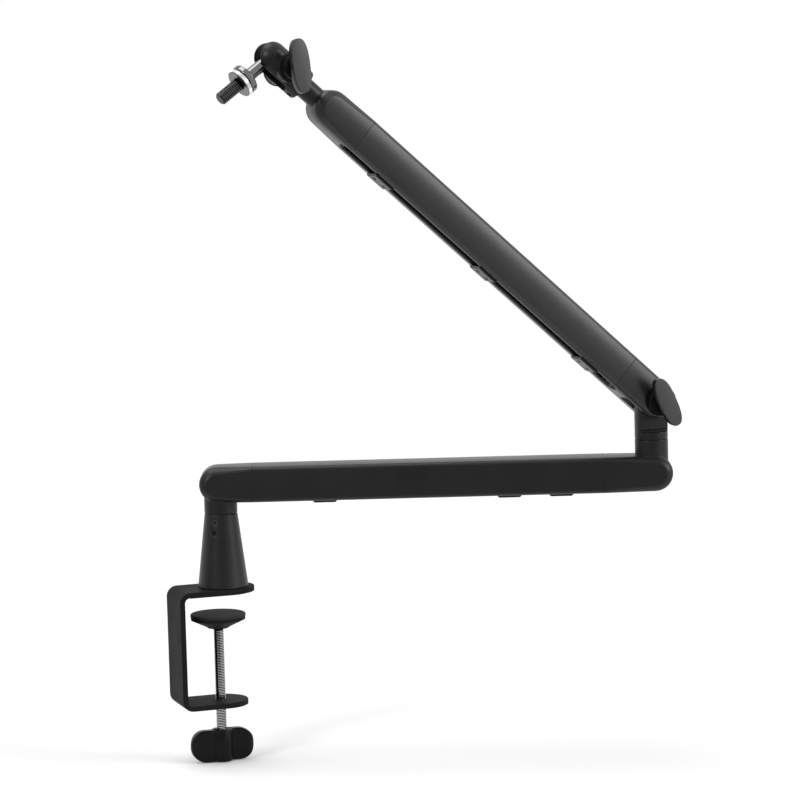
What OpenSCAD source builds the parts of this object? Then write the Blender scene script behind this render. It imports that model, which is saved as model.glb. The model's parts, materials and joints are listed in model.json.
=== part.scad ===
// Low-profile desk boom arm for a microphone. Millimetres, +Z up.
// The origin is on the base swivel axis, at the face that rests on the desk top.
// +X runs from the clamp's spine towards its open mouth.

/* [Desk clamp] */
// width of the bent steel strip
strap_w = 40; // [34:1:50]
// thickness of the steel strip
strap_t = 4; // [3:0.5:6]
// outside radius of the two bends
bend_r = 8; // [6:0.5:12]
// spine's outer face to the swivel axis
spine_x = 39.5; // [36:0.5:48]
// swivel axis to the rounded end of the top tongue
top_reach = 23.5; // [21:0.5:32]
// swivel axis to the rounded end of the bottom tongue
bottom_reach = 16; // [12:0.5:24]
// desk face to the upper face of the bottom tongue
jaw_gap = 81.5; // [60:1:100]
// thickness of the rubber sheet under the top tongue
desk_pad_t = 1; // [0.8:0.1:3]
// distance from the swivel axis back to the clamp screw
screw_back = 5; // [3:0.5:8]
// major diameter of the clamp screw
screw_d = 8; // [6:1:10]
// desk face down to the top of the pressure pad
jaw_open = 15.5; // [8:0.5:60]
// diameter of the pressure pad
pressure_d = 42; // [34:1:50]
// thickness of the rubber on the pressure pad
pressure_rubber_t = 2; // [1:0.5:4]
// bottom tongue down to the top of the wing knob
knob_drop = 19; // [15:0.5:60]
// height of the wing knob
wing_h = 24.5; // [20:0.5:36]
// half of the wing knob's span
wing_r = 24.5; // [22:0.5:34]
// thickness of a wing
wing_t = 8; // [6:0.5:10]
// turn of the wing knob about the screw
wing_turn = -2; // [-90:1:90]

/* [Riser] */
// height of the conical riser
riser_h = 56; // [45:1:80]
// diameter of the riser at the tongue
riser_d = 38; // [34:0.5:39]
// diameter of the round necks at the base and the elbow
neck_d = 25; // [22:0.5:28]
// diameter of the base swivel's steel spindle
base_pin_d = 16; // [12:0.5:18]
// height of the gap between the riser and the lower arm
neck_h = 9; // [7:0.5:14]

/* [Arms] */
// width of both arm tubes
tube_w = 30; // [28:0.5:36]
// height of both arm tubes
tube_h = 27; // [25:0.5:32]
// radius along the tube's four long edges
tube_r = 3.3; // [1.5:0.1:4]
// wall thickness of the tubes
tube_t = 2; // [1.5:0.25:3]
// width of the cable slot along the underside
slot_w = 14; // [10:0.5:16]
// base swivel axis to the elbow axis
lower_reach = 326; // [260:1:420]
// elbow hinge to the centre of the tip cap's round end
upper_reach = 340.5; // [280:0.5:440]
// how far the lower arm's round ends stand past its two axes
end_over = 2; // [1:0.5:4]
// radius of the soft edge around the arms' round ends
end_soft = 7; // [3:0.5:8]
// base axis to the first seam of the lower arm
rear_seam = 25; // [22:0.5:40]
// elbow axis to the second seam of the lower arm
front_seam = 37; // [30:0.5:50]
// elbow hinge to the fork cap's seam
fork_seam = 36; // [33:0.5:50]
// centre of the tip cap's round end back to its seam
tip_seam = 29.5; // [24:0.5:40]
// length of each cap's tenon inside the tube
tenon_l = 18; // [12:1:24]
// pan of the lower arm
lower_pan = -18.5; // [-180:0.5:180]
// pan of the upper arm from the lower arm
elbow_pan = 202.5; // [0:0.5:360]
// tilt of the upper arm above level
upper_tilt = 41.8; // [0:0.1:90]

/* [Elbow] */
// lower arm's top face to the elbow seam
post_h = 11.7; // [9:0.1:20]
// height of the yoke's round collar
collar_h = 6; // [4:0.5:10]
// elbow seam up to the hinge axis
hinge_h = 30.5; // [29:0.5:40]
// thickness of the yoke's flat tongue
tongue_t = 11.4; // [9:0.2:14]
// thickness of a friction washer beside the tongue
washer_t = 0.5; // [0.3:0.1:1]
// diameter of the hinge bolt
hinge_bolt_d = 6; // [5:0.5:8]
// diameter of the elbow's vertical spindle
elbow_pin_d = 14; // [12:0.5:16]

/* [Knobs] */
// diameter of the elbow paddle's round base
paddle_base_d = 22; // [20:0.5:26]
// diameter of the head paddle's round base
head_base_d = 18; // [15:0.5:20]
// height of a paddle knob above the part that it clamps
paddle_h = 16; // [12:0.5:20]
// length of the paddle
paddle_l = 38.5; // [30:0.5:44]
// width of the paddle at its outer face
paddle_w = 13; // [9:0.5:14]
// turn of the elbow paddle from the arm's axis
elbow_paddle = 31; // [0:1:180]
// turn of the head paddle from the arm's axis
head_paddle = 52; // [0:1:180]

/* [Head] */
// diameter of the head's neck
head_neck_d = 15.4; // [13:0.2:18]
// tip cap's round end to the housing's skirt
head_neck_l = 12.5; // [10:0.5:20]
// diameter of the housing and its dome
housing_d = 24; // [20:0.5:26]
// skirt to the centre of the ball
housing_l = 31; // [29:0.5:40]
// diameter of the ball
ball_d = 16; // [14:0.5:17]
// diameter of the stem between the ball and the flange
stem_d = 9; // [8:0.5:10]
// ball centre back to the clamp bolt
clamp_back = 13.3; // [12.5:0.1:16]
// diameter of the clamp bolt
head_bolt_d = 5; // [4:0.5:6]
// diameter of the round bosses on the two jaws
boss_d = 21; // [17:0.5:23]
// roll of the head about the upper arm
head_roll = 8; // [-180:1:180]
// swing of the stem from the arm's axis
stem_swing = 76; // [-90:1:90]
// ball centre to the flange under the stud
flange_at = 24; // [20:0.5:30]
// diameter of the flange and the lock ring
flange_d = 22; // [16:0.5:24]
// thickness of the flange
flange_t = 4.7; // [3:0.1:7]
// length of the threaded stud
stud_l = 22.5; // [16:0.5:30]
// major diameter of the stud, 3/8 inch
stud_d = 9.525; // [9.525:0.001:15.875]
// thickness of the lock ring
ring_t = 3.5; // [2.5:0.5:6]

/* [Cable clips] */
// length of a clip
clip_l = 18; // [12:0.5:24]
// height of a clip's outer plate
clip_t = 1.7; // [1.2:0.1:3]
// first lower clip, from the base axis
lower_clip_a = 79; // [40:1:110]
// last lower clip, back from the elbow axis
lower_clip_c = 69; // [60:1:80]
// middle lower clip, back from the last one
lower_clip_b = 39; // [27:1:80]
// first upper clip, from the hinge
upper_clip_a = 60.5; // [48:0.5:90]
// last upper clip, back from the centre of the tip cap's round end
upper_clip_c = 65; // [50:0.5:100]
// middle upper clip, back from the last one
upper_clip_b = 107; // [60:0.5:120]

/* [Fits] */
// radial gap of a pin that turns in its hole
run_gap = 0.05; // [0.02:0.01:0.1]
// gap between seated pieces of one body
seat_gap = 0.1; // [0.05:0.05:0.3]
// gap between pieces that slide or pass each other
pass_gap = 0.3; // [0.2:0.05:0.6]

/* [Hidden] */
$fn = 96;
top_z = desk_pad_t;
riser_z = top_z + strap_t;
riser_top = riser_z + riser_h;
arm_z = riser_top + neck_h + tube_h / 2;
post_top = tube_h / 2 + post_h;
hinge_z = post_top + hinge_h;
collar_low = -hinge_h + washer_t + 2 * seat_gap;
collar_top = -hinge_h + collar_h;
lip_z = -tube_h / 2;
roof_z = tube_h / 2 - tube_t;
tenon_low = lip_z + tube_t + 4;
ear_in = tongue_t / 2 + washer_t + 2 * seat_gap;
ear_r = tube_h / 2;
crease = 0.031;
yoke_groove = 1.6;
fork_depth = ear_r + 5;
slot_run = slot_w / 2 + 1;
screw_x = -screw_back;
floor_z = -jaw_gap;
pad_top = -jaw_open;
plate_top = pad_top - pressure_rubber_t;
plate_rim = 2.4;
plate_h = 9;
plate_low = plate_top - plate_h;
wing_top = floor_z - strap_t - knob_drop;
pin_low = riser_z + 18;
set_z_top = riser_top - 5.5;
set_z_low = riser_top - 13.5;
set_d = 4;
grub_l = (tube_h - 2 * tube_t) * 0.43;
set_turn = 232;
pin_groove = 1.2;
head_x = upper_reach + ear_r + head_neck_l + housing_l;
jaw_slot = stem_d / 2 + pass_gap;
boss_y = housing_d / 2 + 0.75;
spigot_d = 11;
spigot_l = 8;
grub_x = -housing_l + 4.2;
lock_floor = lip_z + 4.5;
lock_top = lock_floor - pass_gap;
relief_l = ring_t + pass_gap + 0.2;
relief_deep = 1.2;

// frames that carry each piece to its place
module lower_frame() translate([0, 0, arm_z]) rotate([0, 0, lower_pan]) children();
module elbow_frame()
  lower_frame() translate([lower_reach, 0, hinge_z]) rotate([0, 0, elbow_pan]) children();
module upper_frame() elbow_frame() rotate([0, -upper_tilt, 0]) children();
module head_frame() upper_frame() translate([head_x, 0, 0]) rotate([head_roll, 0, 0]) children();
module stem_frame() head_frame() rotate([0, stem_swing, 0]) children();

// a bar along X between two stations, from a profile drawn in Y and Z
module along_x(x0, x1) translate([x0, 0, 0]) rotate([90, 0, 90]) linear_extrude(x1 - x0) children();
// a round bar along Y
module pin_y(r, y0, y1) translate([0, y0, 0]) rotate([-90, 0, 0]) cylinder(r = r, h = y1 - y0);
// a round bar along X
module pin_x(r, x0, x1) translate([x0, 0, 0]) rotate([0, 90, 0]) cylinder(r = r, h = x1 - x0);
// a round bar along Z
module pin_z(r, z0, z1) translate([0, 0, z0]) cylinder(r = r, h = z1 - z0);

// a rectangle with round corners
module soft_rect(w, h, r) {
  square([w - 2 * r, h], center = true);
  square([w, h - 2 * r], center = true);
  for (sx = [-1, 1]) for (sy = [-1, 1])
    translate([sx * (w / 2 - r), sy * (h / 2 - r)]) circle(r);
}

// an arm's outline: its round edges meet the flat sides at a slight crease
module rim_outline(r) intersection() {
  soft_rect(tube_w + 2 * crease * r, tube_h, r);
  square([tube_w, tube_h + 1], center = true);
}

// the tube's outline, and the hollow inside it
module tube_outline() rim_outline(tube_r);
module tube_hollow(gap = 0)
  soft_rect(tube_w - 2 * tube_t - 2 * gap, tube_h - 2 * tube_t - 2 * gap, max(tube_r - tube_t, 0.5));

// the extruded tube, open along its underside
module tube(x0, x1) {
  along_x(x0, x1) difference() {
    tube_outline();
    tube_hollow();
    translate([-slot_w / 2, -tube_h / 2 - 1]) square([slot_w, tube_t + 2]);
  }
}

// the tongue of a cap that fills the top of the tube
module tenon(x0, x1) {
  difference() {
    intersection() {
      along_x(x0, x1) tube_hollow(seat_gap);
      translate([x0 - 1, -tube_w, tenon_low]) cube([x1 - x0 + 2, 2 * tube_w, tube_h]);
    }
    translate([(x0 + x1) / 2, 0, 0]) pin_z(set_d / 2 + seat_gap / 2, -tube_h, tube_h);
  }
}

// the grub screw that wedges a tenon against the tube's roof
module tenon_screw(x)
  translate([x, 0, 0]) difference() {
    pin_z(set_d / 2, roof_z - grub_l, roof_z - seat_gap);
    translate([0, 0, roof_z - grub_l - 1]) cylinder(r = set_d * 0.29, h = 1 + grub_l / 4, $fn = 6);
  }

// the mouth of the cable slot where it runs into a cap
module slot_mouth(x0, x1, tip) {
  translate([x0, -slot_w / 2, lip_z - 1]) cube([x1 - x0, slot_w, tenon_low - lip_z + 1]);
  translate([tip, 0, lip_z - 1]) cylinder(r = slot_w / 2, h = tenon_low - lip_z + 1);
}

// a disc with a round rim of radius r: the round end of an arm
module round_end(r) {
  rotate([90, 0, 0]) rotate_extrude() intersection() {
    rotate(90) rim_outline(r);
    translate([0, -tube_w]) square([tube_h, 2 * tube_w]);
  }
}

// a round-ended cap of an arm, from its end at x0 to its seam
module soft_cap(x0, seam) {
  hull() {
    translate([x0, 0, 0]) round_end(end_soft, $fn = 32);
    if (seam > x0) along_x(seam - 0.4, seam) tube_outline();
    else along_x(seam, seam + 0.4) tube_outline();
  }
}

module clamp_bracket() {
  color([0.05, 0.05, 0.055]) difference() {
    intersection() {
      translate([0, strap_w / 2, 0]) rotate([90, 0, 0]) linear_extrude(strap_w) strap_side();
      union() {
        strap_plan(top_reach, -jaw_gap / 2, riser_z + 1);
        strap_plan(bottom_reach, floor_z - strap_t - 1, -jaw_gap / 2 + 0.01);
      }
    }
    translate([screw_x, 0, 0]) pin_z(screw_d / 2 + run_gap, floor_z - strap_t - 1, floor_z + 1);
    for (a = [60, 180, 300]) rotate([0, 0, a]) translate([12, 0, 0]) {
      pin_z(2.1, top_z - 1, riser_z + 1);
      translate([0, 0, top_z - 0.01]) cylinder(r1 = 4.2, r2 = 2.1, h = 2.1);
    }
  }
}

// the strip seen from its edge: a spine and two tongues with round bends
module strap_side() {
  z1 = riser_z;
  z0 = floor_z - strap_t;
  r = bend_r;
  inside = spine_x + top_reach + strap_w;
  difference() {
    union() {
      translate([-spine_x, z0 + r]) square([spine_x + top_reach + 1, z1 - z0 - 2 * r]);
      translate([-spine_x + r, z0]) square([spine_x + top_reach + 1 - r, z1 - z0]);
      for (z = [z0 + r, z1 - r]) translate([-spine_x + r, z]) circle(r);
    }
    translate([-spine_x + strap_t, floor_z + r - strap_t])
      square([inside, jaw_gap + top_z - 2 * (r - strap_t)]);
    translate([-spine_x + r, floor_z]) square([inside, jaw_gap + top_z]);
    for (z = [z0 + r, z1 - r]) translate([-spine_x + r, z]) circle(r - strap_t);
  }
}

// the strip seen from above, with its round tongue
module strap_plan(reach, z0, z1) {
  translate([-spine_x - 1, -strap_w / 2, z0]) cube([spine_x + 1 + reach - strap_w / 2, strap_w, z1 - z0]);
  translate([reach - strap_w / 2, 0, z0]) cylinder(r = strap_w / 2, h = z1 - z0, $fn = 128);
}

module desk_pad() {
  edge = 4;
  r = strap_w / 2 - edge;
  color([0.03, 0.03, 0.03]) {
    translate([-spine_x + bend_r + 1, -r, 0]) cube([spine_x - bend_r - 1 + top_reach - edge - r, 2 * r, desk_pad_t]);
    translate([top_reach - edge - r, 0, 0]) cylinder(r = r, h = desk_pad_t);
  }
}

module riser() {
  r0 = riser_d / 2;
  r1 = neck_d / 2;
  color([0.06, 0.06, 0.065]) difference() {
    translate([0, 0, riser_z]) rotate_extrude()
      polygon([[0, 0], [r0 - 0.6, 0], [r0, 0.6], [r1, riser_h - 0.4], [r1 - 0.4, riser_h], [0, riser_h]]);
    pin_z(base_pin_d / 2 + run_gap, pin_low - 0.5, riser_top + 1);
    for (z = [set_z_top, set_z_low]) translate([0, 0, z]) rotate([0, 0, set_turn])
      pin_x(set_d / 2 + seat_gap / 2, 0, riser_d);
    for (a = [60, 180, 300]) rotate([0, 0, a]) translate([12, 0, 0]) pin_z(2.05, riser_z - 1, riser_z + 11);
  }
}

// countersunk bolts that hold the riser, heads flush under the tongue
module riser_bolts() {
  color([0.55, 0.55, 0.56]) for (a = [60, 180, 300]) rotate([0, 0, a]) translate([12, 0, 0])
    difference() {
      union() {
        pin_z(2, top_z + 0.05, riser_z + 10);
        translate([0, 0, top_z + 0.05]) cylinder(r1 = 4, r2 = 2, h = 2);
      }
      translate([0, 0, top_z - 1]) cylinder(r = 1.3, h = 2.8, $fn = 6);
    }
}

// two socket set screws in the riser's side
module riser_set_screws() {
  reach = base_pin_d / 2;
  skin_top = neck_d / 2 + (riser_top - set_z_top) * (riser_d - neck_d) / 2 / riser_h;
  skin_low = neck_d / 2 + (riser_top - set_z_low) * (riser_d - neck_d) / 2 / riser_h;
  color([0.45, 0.45, 0.46]) {
    translate([0, 0, set_z_top]) rotate([0, 0, set_turn]) difference() {
      pin_x(set_d / 2, reach + run_gap, skin_top - 0.3);
      rotate([0, 90, 0]) translate([0, 0, skin_top - 2.3]) cylinder(r = 1.15, h = 4, $fn = 6);
    }
    translate([0, 0, set_z_low]) rotate([0, 0, set_turn]) difference() {
      pin_x(set_d / 2, reach - pin_groove + run_gap, skin_low - 1.8);
      rotate([0, 90, 0]) translate([0, 0, skin_low - 3.8]) cylinder(r = 1.15, h = 4, $fn = 6);
    }
  }
}

module pressure_rubber() {
  color([0.03, 0.03, 0.03]) translate([screw_x, 0, plate_top]) rotate_extrude($fn = 128) polygon([
    [0, 0], [pressure_d / 2, 0], [pressure_d / 2, pressure_rubber_t - 0.6],
    [pressure_d / 2 - 0.6, pressure_rubber_t], [0, pressure_rubber_t]]);
}

// the pressed plate: a rim, a cone and a hub that turns on the screw's end
module pressure_plate() {
  r = pressure_d / 2 - 0.3;
  hub = screw_d / 2 + 5;
  pin = screw_d / 2 - 1;
  color([0.05, 0.05, 0.055]) translate([screw_x, 0, plate_top]) difference() {
    rotate_extrude($fn = 128) polygon([[0, -seat_gap / 2], [r, -seat_gap / 2], [r, -plate_rim],
      [r - 0.8, -plate_rim - 0.4], [hub, -plate_h + 1], [hub - 1, -plate_h], [0, -plate_h]]);
    pin_z(pin + run_gap, -plate_h - 1, 1);
    pin_z(pin + 2.2 + pass_gap, -2.2, 1);
  }
}

module clamp_screw() {
  r = screw_d / 2;
  pin = r - 1;
  low = wing_top - 18;
  color([0.7, 0.7, 0.7]) translate([screw_x, 0, 0]) {
    pin_z(r, low + 0.6, plate_low - pass_gap);
    translate([0, 0, low]) cylinder(r1 = r - 0.6, r2 = r, h = 0.6);
    difference() {
      pin_z(pin, plate_low - pass_gap - 0.01, plate_top - pass_gap - 0.1);
      translate([0, 0, plate_top - 1.7]) difference() {
        cylinder(r = r, h = 0.9);
        translate([0, 0, -1]) cylinder(r = pin - 0.5, h = 3);
      }
    }
  }
}

// the spring clip that keeps the plate on the screw
module screw_clip() {
  pin = screw_d / 2 - 1;
  color([0.3, 0.3, 0.31]) translate([screw_x, 0, plate_top - 1.65]) difference() {
    cylinder(r = pin + 2.2, h = 0.8);
    translate([0, 0, -1]) cylinder(r = pin - 0.45, h = 3);
    translate([0, -1.2, -1]) cube([20, 2.4, 3]);
  }
}

// the wing knob seen from above: two opposite arcs that make an S
module wing_plan() {
  chord = wing_r - wing_t / 2;
  rise = 1.5;
  arc = (chord * chord / 4 + rise * rise) / (2 * rise);
  circle(screw_d / 2 + 4.2);
  for (a = [0, 180]) rotate([0, 0, a]) {
    intersection() {
      translate([chord / 2, rise - arc]) difference() {
        circle(arc + wing_t / 2, $fn = 128);
        circle(arc - wing_t / 2, $fn = 128);
      }
      translate([0, -wing_t]) square([chord, 2 * wing_t]);
    }
    translate([chord, 0]) circle(wing_t / 2);
  }
}

module clamp_knob() {
  color([0.04, 0.04, 0.045]) translate([screw_x, 0, wing_top - wing_h / 2]) rotate([0, 0, wing_turn])
    difference() {
      intersection() {
        translate([0, 0, -wing_h / 2]) linear_extrude(wing_h) wing_plan();
        rotate([90, 0, 0]) translate([0, 0, -wing_r])
          linear_extrude(2 * wing_r) soft_rect(2 * wing_r, wing_h, 11.5);
      }
      pin_z(screw_d / 2 + seat_gap / 4, wing_h / 2 - 18.2, wing_h);
    }
}

// a round end with the base swivel's neck under it
module lower_rear_cap() {
  color([0.06, 0.06, 0.065]) lower_frame() difference() {
    union() {
      soft_cap(-end_over, rear_seam);
      tenon(rear_seam - 0.1, rear_seam + tenon_l);
      pin_z(neck_d / 2, -tube_h / 2 - neck_h + washer_t + 2 * seat_gap, 0);
    }
    slot_mouth(rear_seam - 1, rear_seam + tenon_l + 1, rear_seam - 1);
    pin_z(base_pin_d / 2 + seat_gap / 4, -tube_h, tube_h / 2 - 5);
  }
}

module lower_tube() {
  color([0.055, 0.055, 0.06]) lower_frame()
    tube(rear_seam + seat_gap, lower_reach - front_seam - seat_gap);
}

// a round end that carries the elbow's post
module lower_front_cap() {
  x1 = lower_reach - front_seam;
  color([0.06, 0.06, 0.065]) lower_frame() difference() {
    union() {
      soft_cap(lower_reach + end_over, x1);
      tenon(x1 - tenon_l, x1 + 0.1);
      translate([lower_reach, 0, 0]) pin_z(neck_d / 2, 0, post_top);
    }
    slot_mouth(x1 - tenon_l - 1, x1 + 1, x1 + 1);
    translate([lower_reach, 0, 0]) {
      pin_z(elbow_pin_d / 2 + run_gap, -tube_h, post_top + 1);
      pin_z(9.2, -tube_h, lock_floor);
    }
  }
}

// the steel spindle under the lower arm, with a groove for the set screw
module base_spindle() {
  r = base_pin_d / 2;
  color([0.6, 0.6, 0.61]) difference() {
    union() {
      pin_z(r, pin_low + 1, arm_z + tube_h / 2 - 5.2);
      translate([0, 0, pin_low]) cylinder(r1 = r - 1, r2 = r, h = 1);
    }
    translate([0, 0, set_z_low - 2.6]) difference() {
      cylinder(r = r + 1, h = 5.2);
      translate([0, 0, -1]) cylinder(r = r - pin_groove, h = 8);
    }
  }
}

// the thin ring that shows as a dark seam above the riser
module base_washer() {
  color([0.02, 0.02, 0.02]) translate([0, 0, riser_top + seat_gap]) difference() {
    cylinder(r = neck_d / 2 - 0.6, h = washer_t);
    translate([0, 0, -1]) cylinder(r = base_pin_d / 2 + seat_gap, h = 3);
  }
}

module lower_cap_screws() {
  color([0.3, 0.3, 0.31]) lower_frame() {
    tenon_screw(rear_seam - 0.05 + tenon_l / 2);
    tenon_screw(lower_reach - front_seam + 0.05 - tenon_l / 2);
  }
}

// the side of a clip: plate, waist and two hooks over the slot's lips
module clip_profile() {
  g = pass_gap;
  w = slot_w / 2 - g;
  difference() {
    union() {
      translate([-w - 2.4, -clip_t - g]) square([2 * w + 4.8, clip_t]);
      translate([-w, -g - 0.01]) square([2 * w, tube_t + 2 * g + 1.02]);
      for (s = [-1, 1]) translate([s * (w - 0.2), tube_t + g]) polygon([[-1.6, 0], [1.6, 0], [1.2, 1], [-1.6, 1]]);
    }
    translate([-w + 1.4, -g + 0.2]) square([2 * w - 2.8, 10]);
    for (s = [-1, 1]) translate([s * (w + 2.4), -clip_t - g]) rotate(45) square(1, center = true);
  }
}

module clip(x) {
  along = clip_l / 2;
  translate([x, 0, lip_z]) difference() {
    along_x(-along, along) clip_profile();
    for (s = [-1, 1]) translate([s * along, 0, -clip_t - pass_gap]) rotate([0, 45, 0])
      cube([clip_t, tube_w, clip_t], center = true);
    translate([0, 0, -clip_t - pass_gap - 1]) for (s = [-1, 1])
      translate([s * (along - 4.5), 0, 0]) cylinder(r = 1.6, h = clip_t + 3);
  }
}

module lower_clip_1() color([0.03, 0.03, 0.032]) lower_frame() clip(lower_clip_a);
module lower_clip_2() color([0.03, 0.03, 0.032]) lower_frame() clip(lower_reach - lower_clip_c - lower_clip_b);
module lower_clip_3() color([0.03, 0.03, 0.032]) lower_frame() clip(lower_reach - lower_clip_c);
module upper_clip_1() color([0.03, 0.03, 0.032]) upper_frame() clip(upper_clip_a);
module upper_clip_2() color([0.03, 0.03, 0.032]) upper_frame() clip(upper_reach - upper_clip_c - upper_clip_b);
module upper_clip_3() color([0.03, 0.03, 0.032]) upper_frame() clip(upper_reach - upper_clip_c);

// a round collar that narrows to a flat tongue, with a groove at the ledge
module elbow_yoke() {
  r = neck_d / 2;
  t = tongue_t / 2;
  color([0.06, 0.06, 0.065]) elbow_frame() difference() {
    union() {
      pin_z(r, collar_low, collar_top);
      intersection() {
        union() {
          pin_z(r, collar_top - 0.01, 0);
          pin_y(r, -t, t);
        }
        translate([-r - 1, -t, collar_top - 0.02]) cube([2 * r + 2, 2 * t, 60]);
      }
    }
    for (s = [-1, 1]) translate([0, s * (t - 1.3 + r), collar_top + yoke_groove / 2])
      cube([2 * r + 2, 2 * r, yoke_groove], center = true);
    pin_y(hinge_bolt_d / 2 + run_gap, -20, 20);
    pin_z(elbow_pin_d / 2 + seat_gap / 4, -hinge_h - 1, collar_top - 1.5);
  }
}

module elbow_spindle() {
  r = elbow_pin_d / 2;
  low = -hinge_z + lock_top + seat_gap;
  color([0.6, 0.6, 0.61]) elbow_frame() difference() {
    pin_z(r, low, collar_top - 1.6);
    pin_z(2.52, low - 1, low + 12);
  }
}

module elbow_washer() {
  color([0.02, 0.02, 0.02]) elbow_frame() translate([0, 0, -hinge_h + seat_gap]) difference() {
    cylinder(r = neck_d / 2 - 0.6, h = washer_t);
    translate([0, 0, -1]) cylinder(r = elbow_pin_d / 2 + seat_gap, h = 3);
  }
}

// the washer-headed screw that holds the elbow down, seen only from below
module elbow_lock_screw() {
  top = -hinge_z + lock_top;
  color([0.3, 0.3, 0.31]) elbow_frame() difference() {
    union() {
      pin_z(8.8, top - 1.2, top);
      pin_z(4.6, top - 3.6, top - 1.19);
      pin_z(2.5, top - 1, top + 11);
    }
    translate([0, 0, top - 4]) cylinder(r = 1.75, h = 2.4, $fn = 6);
  }
}

// a fork with two round ears that straddle the tongue
module upper_rear_cap() {
  w = tube_w / 2;
  color([0.06, 0.06, 0.065]) upper_frame() difference() {
    union() {
      round_end(tube_r);
      along_x(0, fork_seam) tube_outline();
      tenon(fork_seam - 0.1, fork_seam + tenon_l);
    }
    translate([-30, -ear_in, -30]) cube([30 + fork_depth, 2 * ear_in, 60]);
    slot_mouth(fork_seam - 1, fork_seam + tenon_l + 1, fork_seam - 1);
    pin_y(hinge_bolt_d / 2 + run_gap, -20, 20);
    pin_y(paddle_base_d / 2 + 0.4, w - 0.8, 20);
    rotate([90, 0, 0]) rotate([0, 0, 30])
      translate([0, 0, w - 5.2]) cylinder(r = (hinge_bolt_d * 1.67 + 0.2) / sqrt(3), h = 10, $fn = 6);
  }
}

module upper_tube() {
  color([0.055, 0.055, 0.06]) upper_frame()
    tube(fork_seam + seat_gap, upper_reach - tip_seam - seat_gap);
}

// the round tip, with the neck's socket in its end
module upper_front_cap() {
  w = tube_w / 2;
  x0 = upper_reach - tip_seam;
  color([0.06, 0.06, 0.065]) upper_frame() difference() {
    union() {
      soft_cap(upper_reach, x0);
      tenon(x0 - tenon_l, x0 + 0.1);
    }
    slot_mouth(x0 - tenon_l - 1, x0 + 1, x0 - 1);
    pin_x(head_neck_d / 2 + seat_gap / 4, upper_reach - 4, upper_reach + 40);
  }
}

module upper_cap_screws() {
  color([0.3, 0.3, 0.31]) upper_frame() {
    tenon_screw(fork_seam - 0.05 + tenon_l / 2);
    tenon_screw(upper_reach - tip_seam + 0.05 - tenon_l / 2);
  }
}

module hinge_washers() {
  color([0.02, 0.02, 0.02]) upper_frame() for (s = [-1, 1]) scale([1, s, 1]) difference() {
    pin_y(11.5, tongue_t / 2 + seat_gap, tongue_t / 2 + seat_gap + washer_t);
    pin_y(hinge_bolt_d / 2 + 0.5, 0, 20);
  }
}

// a hexagon nut sunk in the far ear
module hinge_nut() {
  w = tube_w / 2;
  color([0.5, 0.5, 0.5]) upper_frame() rotate([90, 0, 0]) rotate([0, 0, 30]) difference() {
    translate([0, 0, w - 5.1]) cylinder(r = hinge_bolt_d * 1.67 / sqrt(3), h = 4.8, $fn = 6);
    cylinder(r = hinge_bolt_d / 2 + run_gap, h = 30);
  }
}

// a paddle knob on a round base; it stands on y0 and its length lies along X
module paddle(y0, hole, base) {
  l = paddle_l / 2;
  w = paddle_w / 2;
  b = base / 2;
  h = paddle_h;
  side = 3.2 * l;
  difference() {
    union() {
      translate([0, y0, 0]) rotate([-90, 0, 0]) rotate_extrude()
        polygon([[0, 0], [b, 0], [b, h * 0.4], [b - 1.2, h * 0.49], [0, h * 0.49]]);
      intersection() {
        translate([0, y0 + h, 0]) rotate([90, 0, 0]) linear_extrude(h * 0.8) intersection() {
          soft_rect(2 * l, 2 * w + 1, w * 0.8);
          translate([0, side - w]) circle(side, $fn = 192);
          translate([0, -side + w]) circle(side, $fn = 192);
        }
        translate([-l - 1, 0, 0]) rotate([90, 0, 90]) linear_extrude(2 * l + 2) polygon([
          [y0 + h * 0.2, -w * 0.62], [y0 + h * 0.45, -w * 0.64], [y0 + h * 0.88, -w - 0.2], [y0 + h - 0.8, -w - 0.2],
          [y0 + h, -w + 0.6], [y0 + h, w - 0.6], [y0 + h - 0.8, w + 0.2], [y0 + h * 0.88, w + 0.2],
          [y0 + h * 0.45, w * 0.64], [y0 + h * 0.2, w * 0.62]]);
        translate([0, 0, -w - 1]) linear_extrude(2 * w + 2) polygon([
          [-b + 2, y0 + h * 0.2], [-b + 1, y0 + h * 0.35], [-l + 1.6, y0 + h * 0.5], [-l - 0.2, y0 + h * 0.6],
          [-l - 0.2, y0 + h - 0.8], [-l + 0.6, y0 + h], [l - 0.6, y0 + h], [l + 0.2, y0 + h - 0.8],
          [l + 0.2, y0 + h * 0.6], [l - 1.6, y0 + h * 0.5], [b - 1, y0 + h * 0.35], [b - 2, y0 + h * 0.2]]);
      }
    }
    pin_y(hole / 2 + seat_gap / 4, y0 - 1, y0 + h * 0.6);
  }
}

module elbow_knob() {
  color([0.04, 0.04, 0.045]) upper_frame() rotate([0, -elbow_paddle, 0])
    paddle(tube_w / 2 - 0.8 + pass_gap, hinge_bolt_d, paddle_base_d);
}

module hinge_bolt() {
  w = tube_w / 2;
  color([0.6, 0.6, 0.61]) upper_frame() pin_y(hinge_bolt_d / 2, -w + 0.2, w - 0.8 + pass_gap + paddle_h * 0.6 - 0.1);
}

// the neck: a round bar in the tip cap, with a spigot that the head turns on
module head_neck() {
  r = head_neck_d / 2;
  skirt = upper_reach + ear_r + head_neck_l;
  color([0.06, 0.06, 0.065]) upper_frame() difference() {
    union() {
      pin_x(r, upper_reach - 3.9, skirt - pass_gap);
      pin_x(spigot_d / 2, skirt - 1, skirt + spigot_l);
    }
    translate([skirt + 4.2 - 2.3, 0, 0]) difference() {
      pin_x(r, 0, 4.6);
      pin_x(spigot_d / 2 - 1, -1, 6);
    }
  }
}

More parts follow.
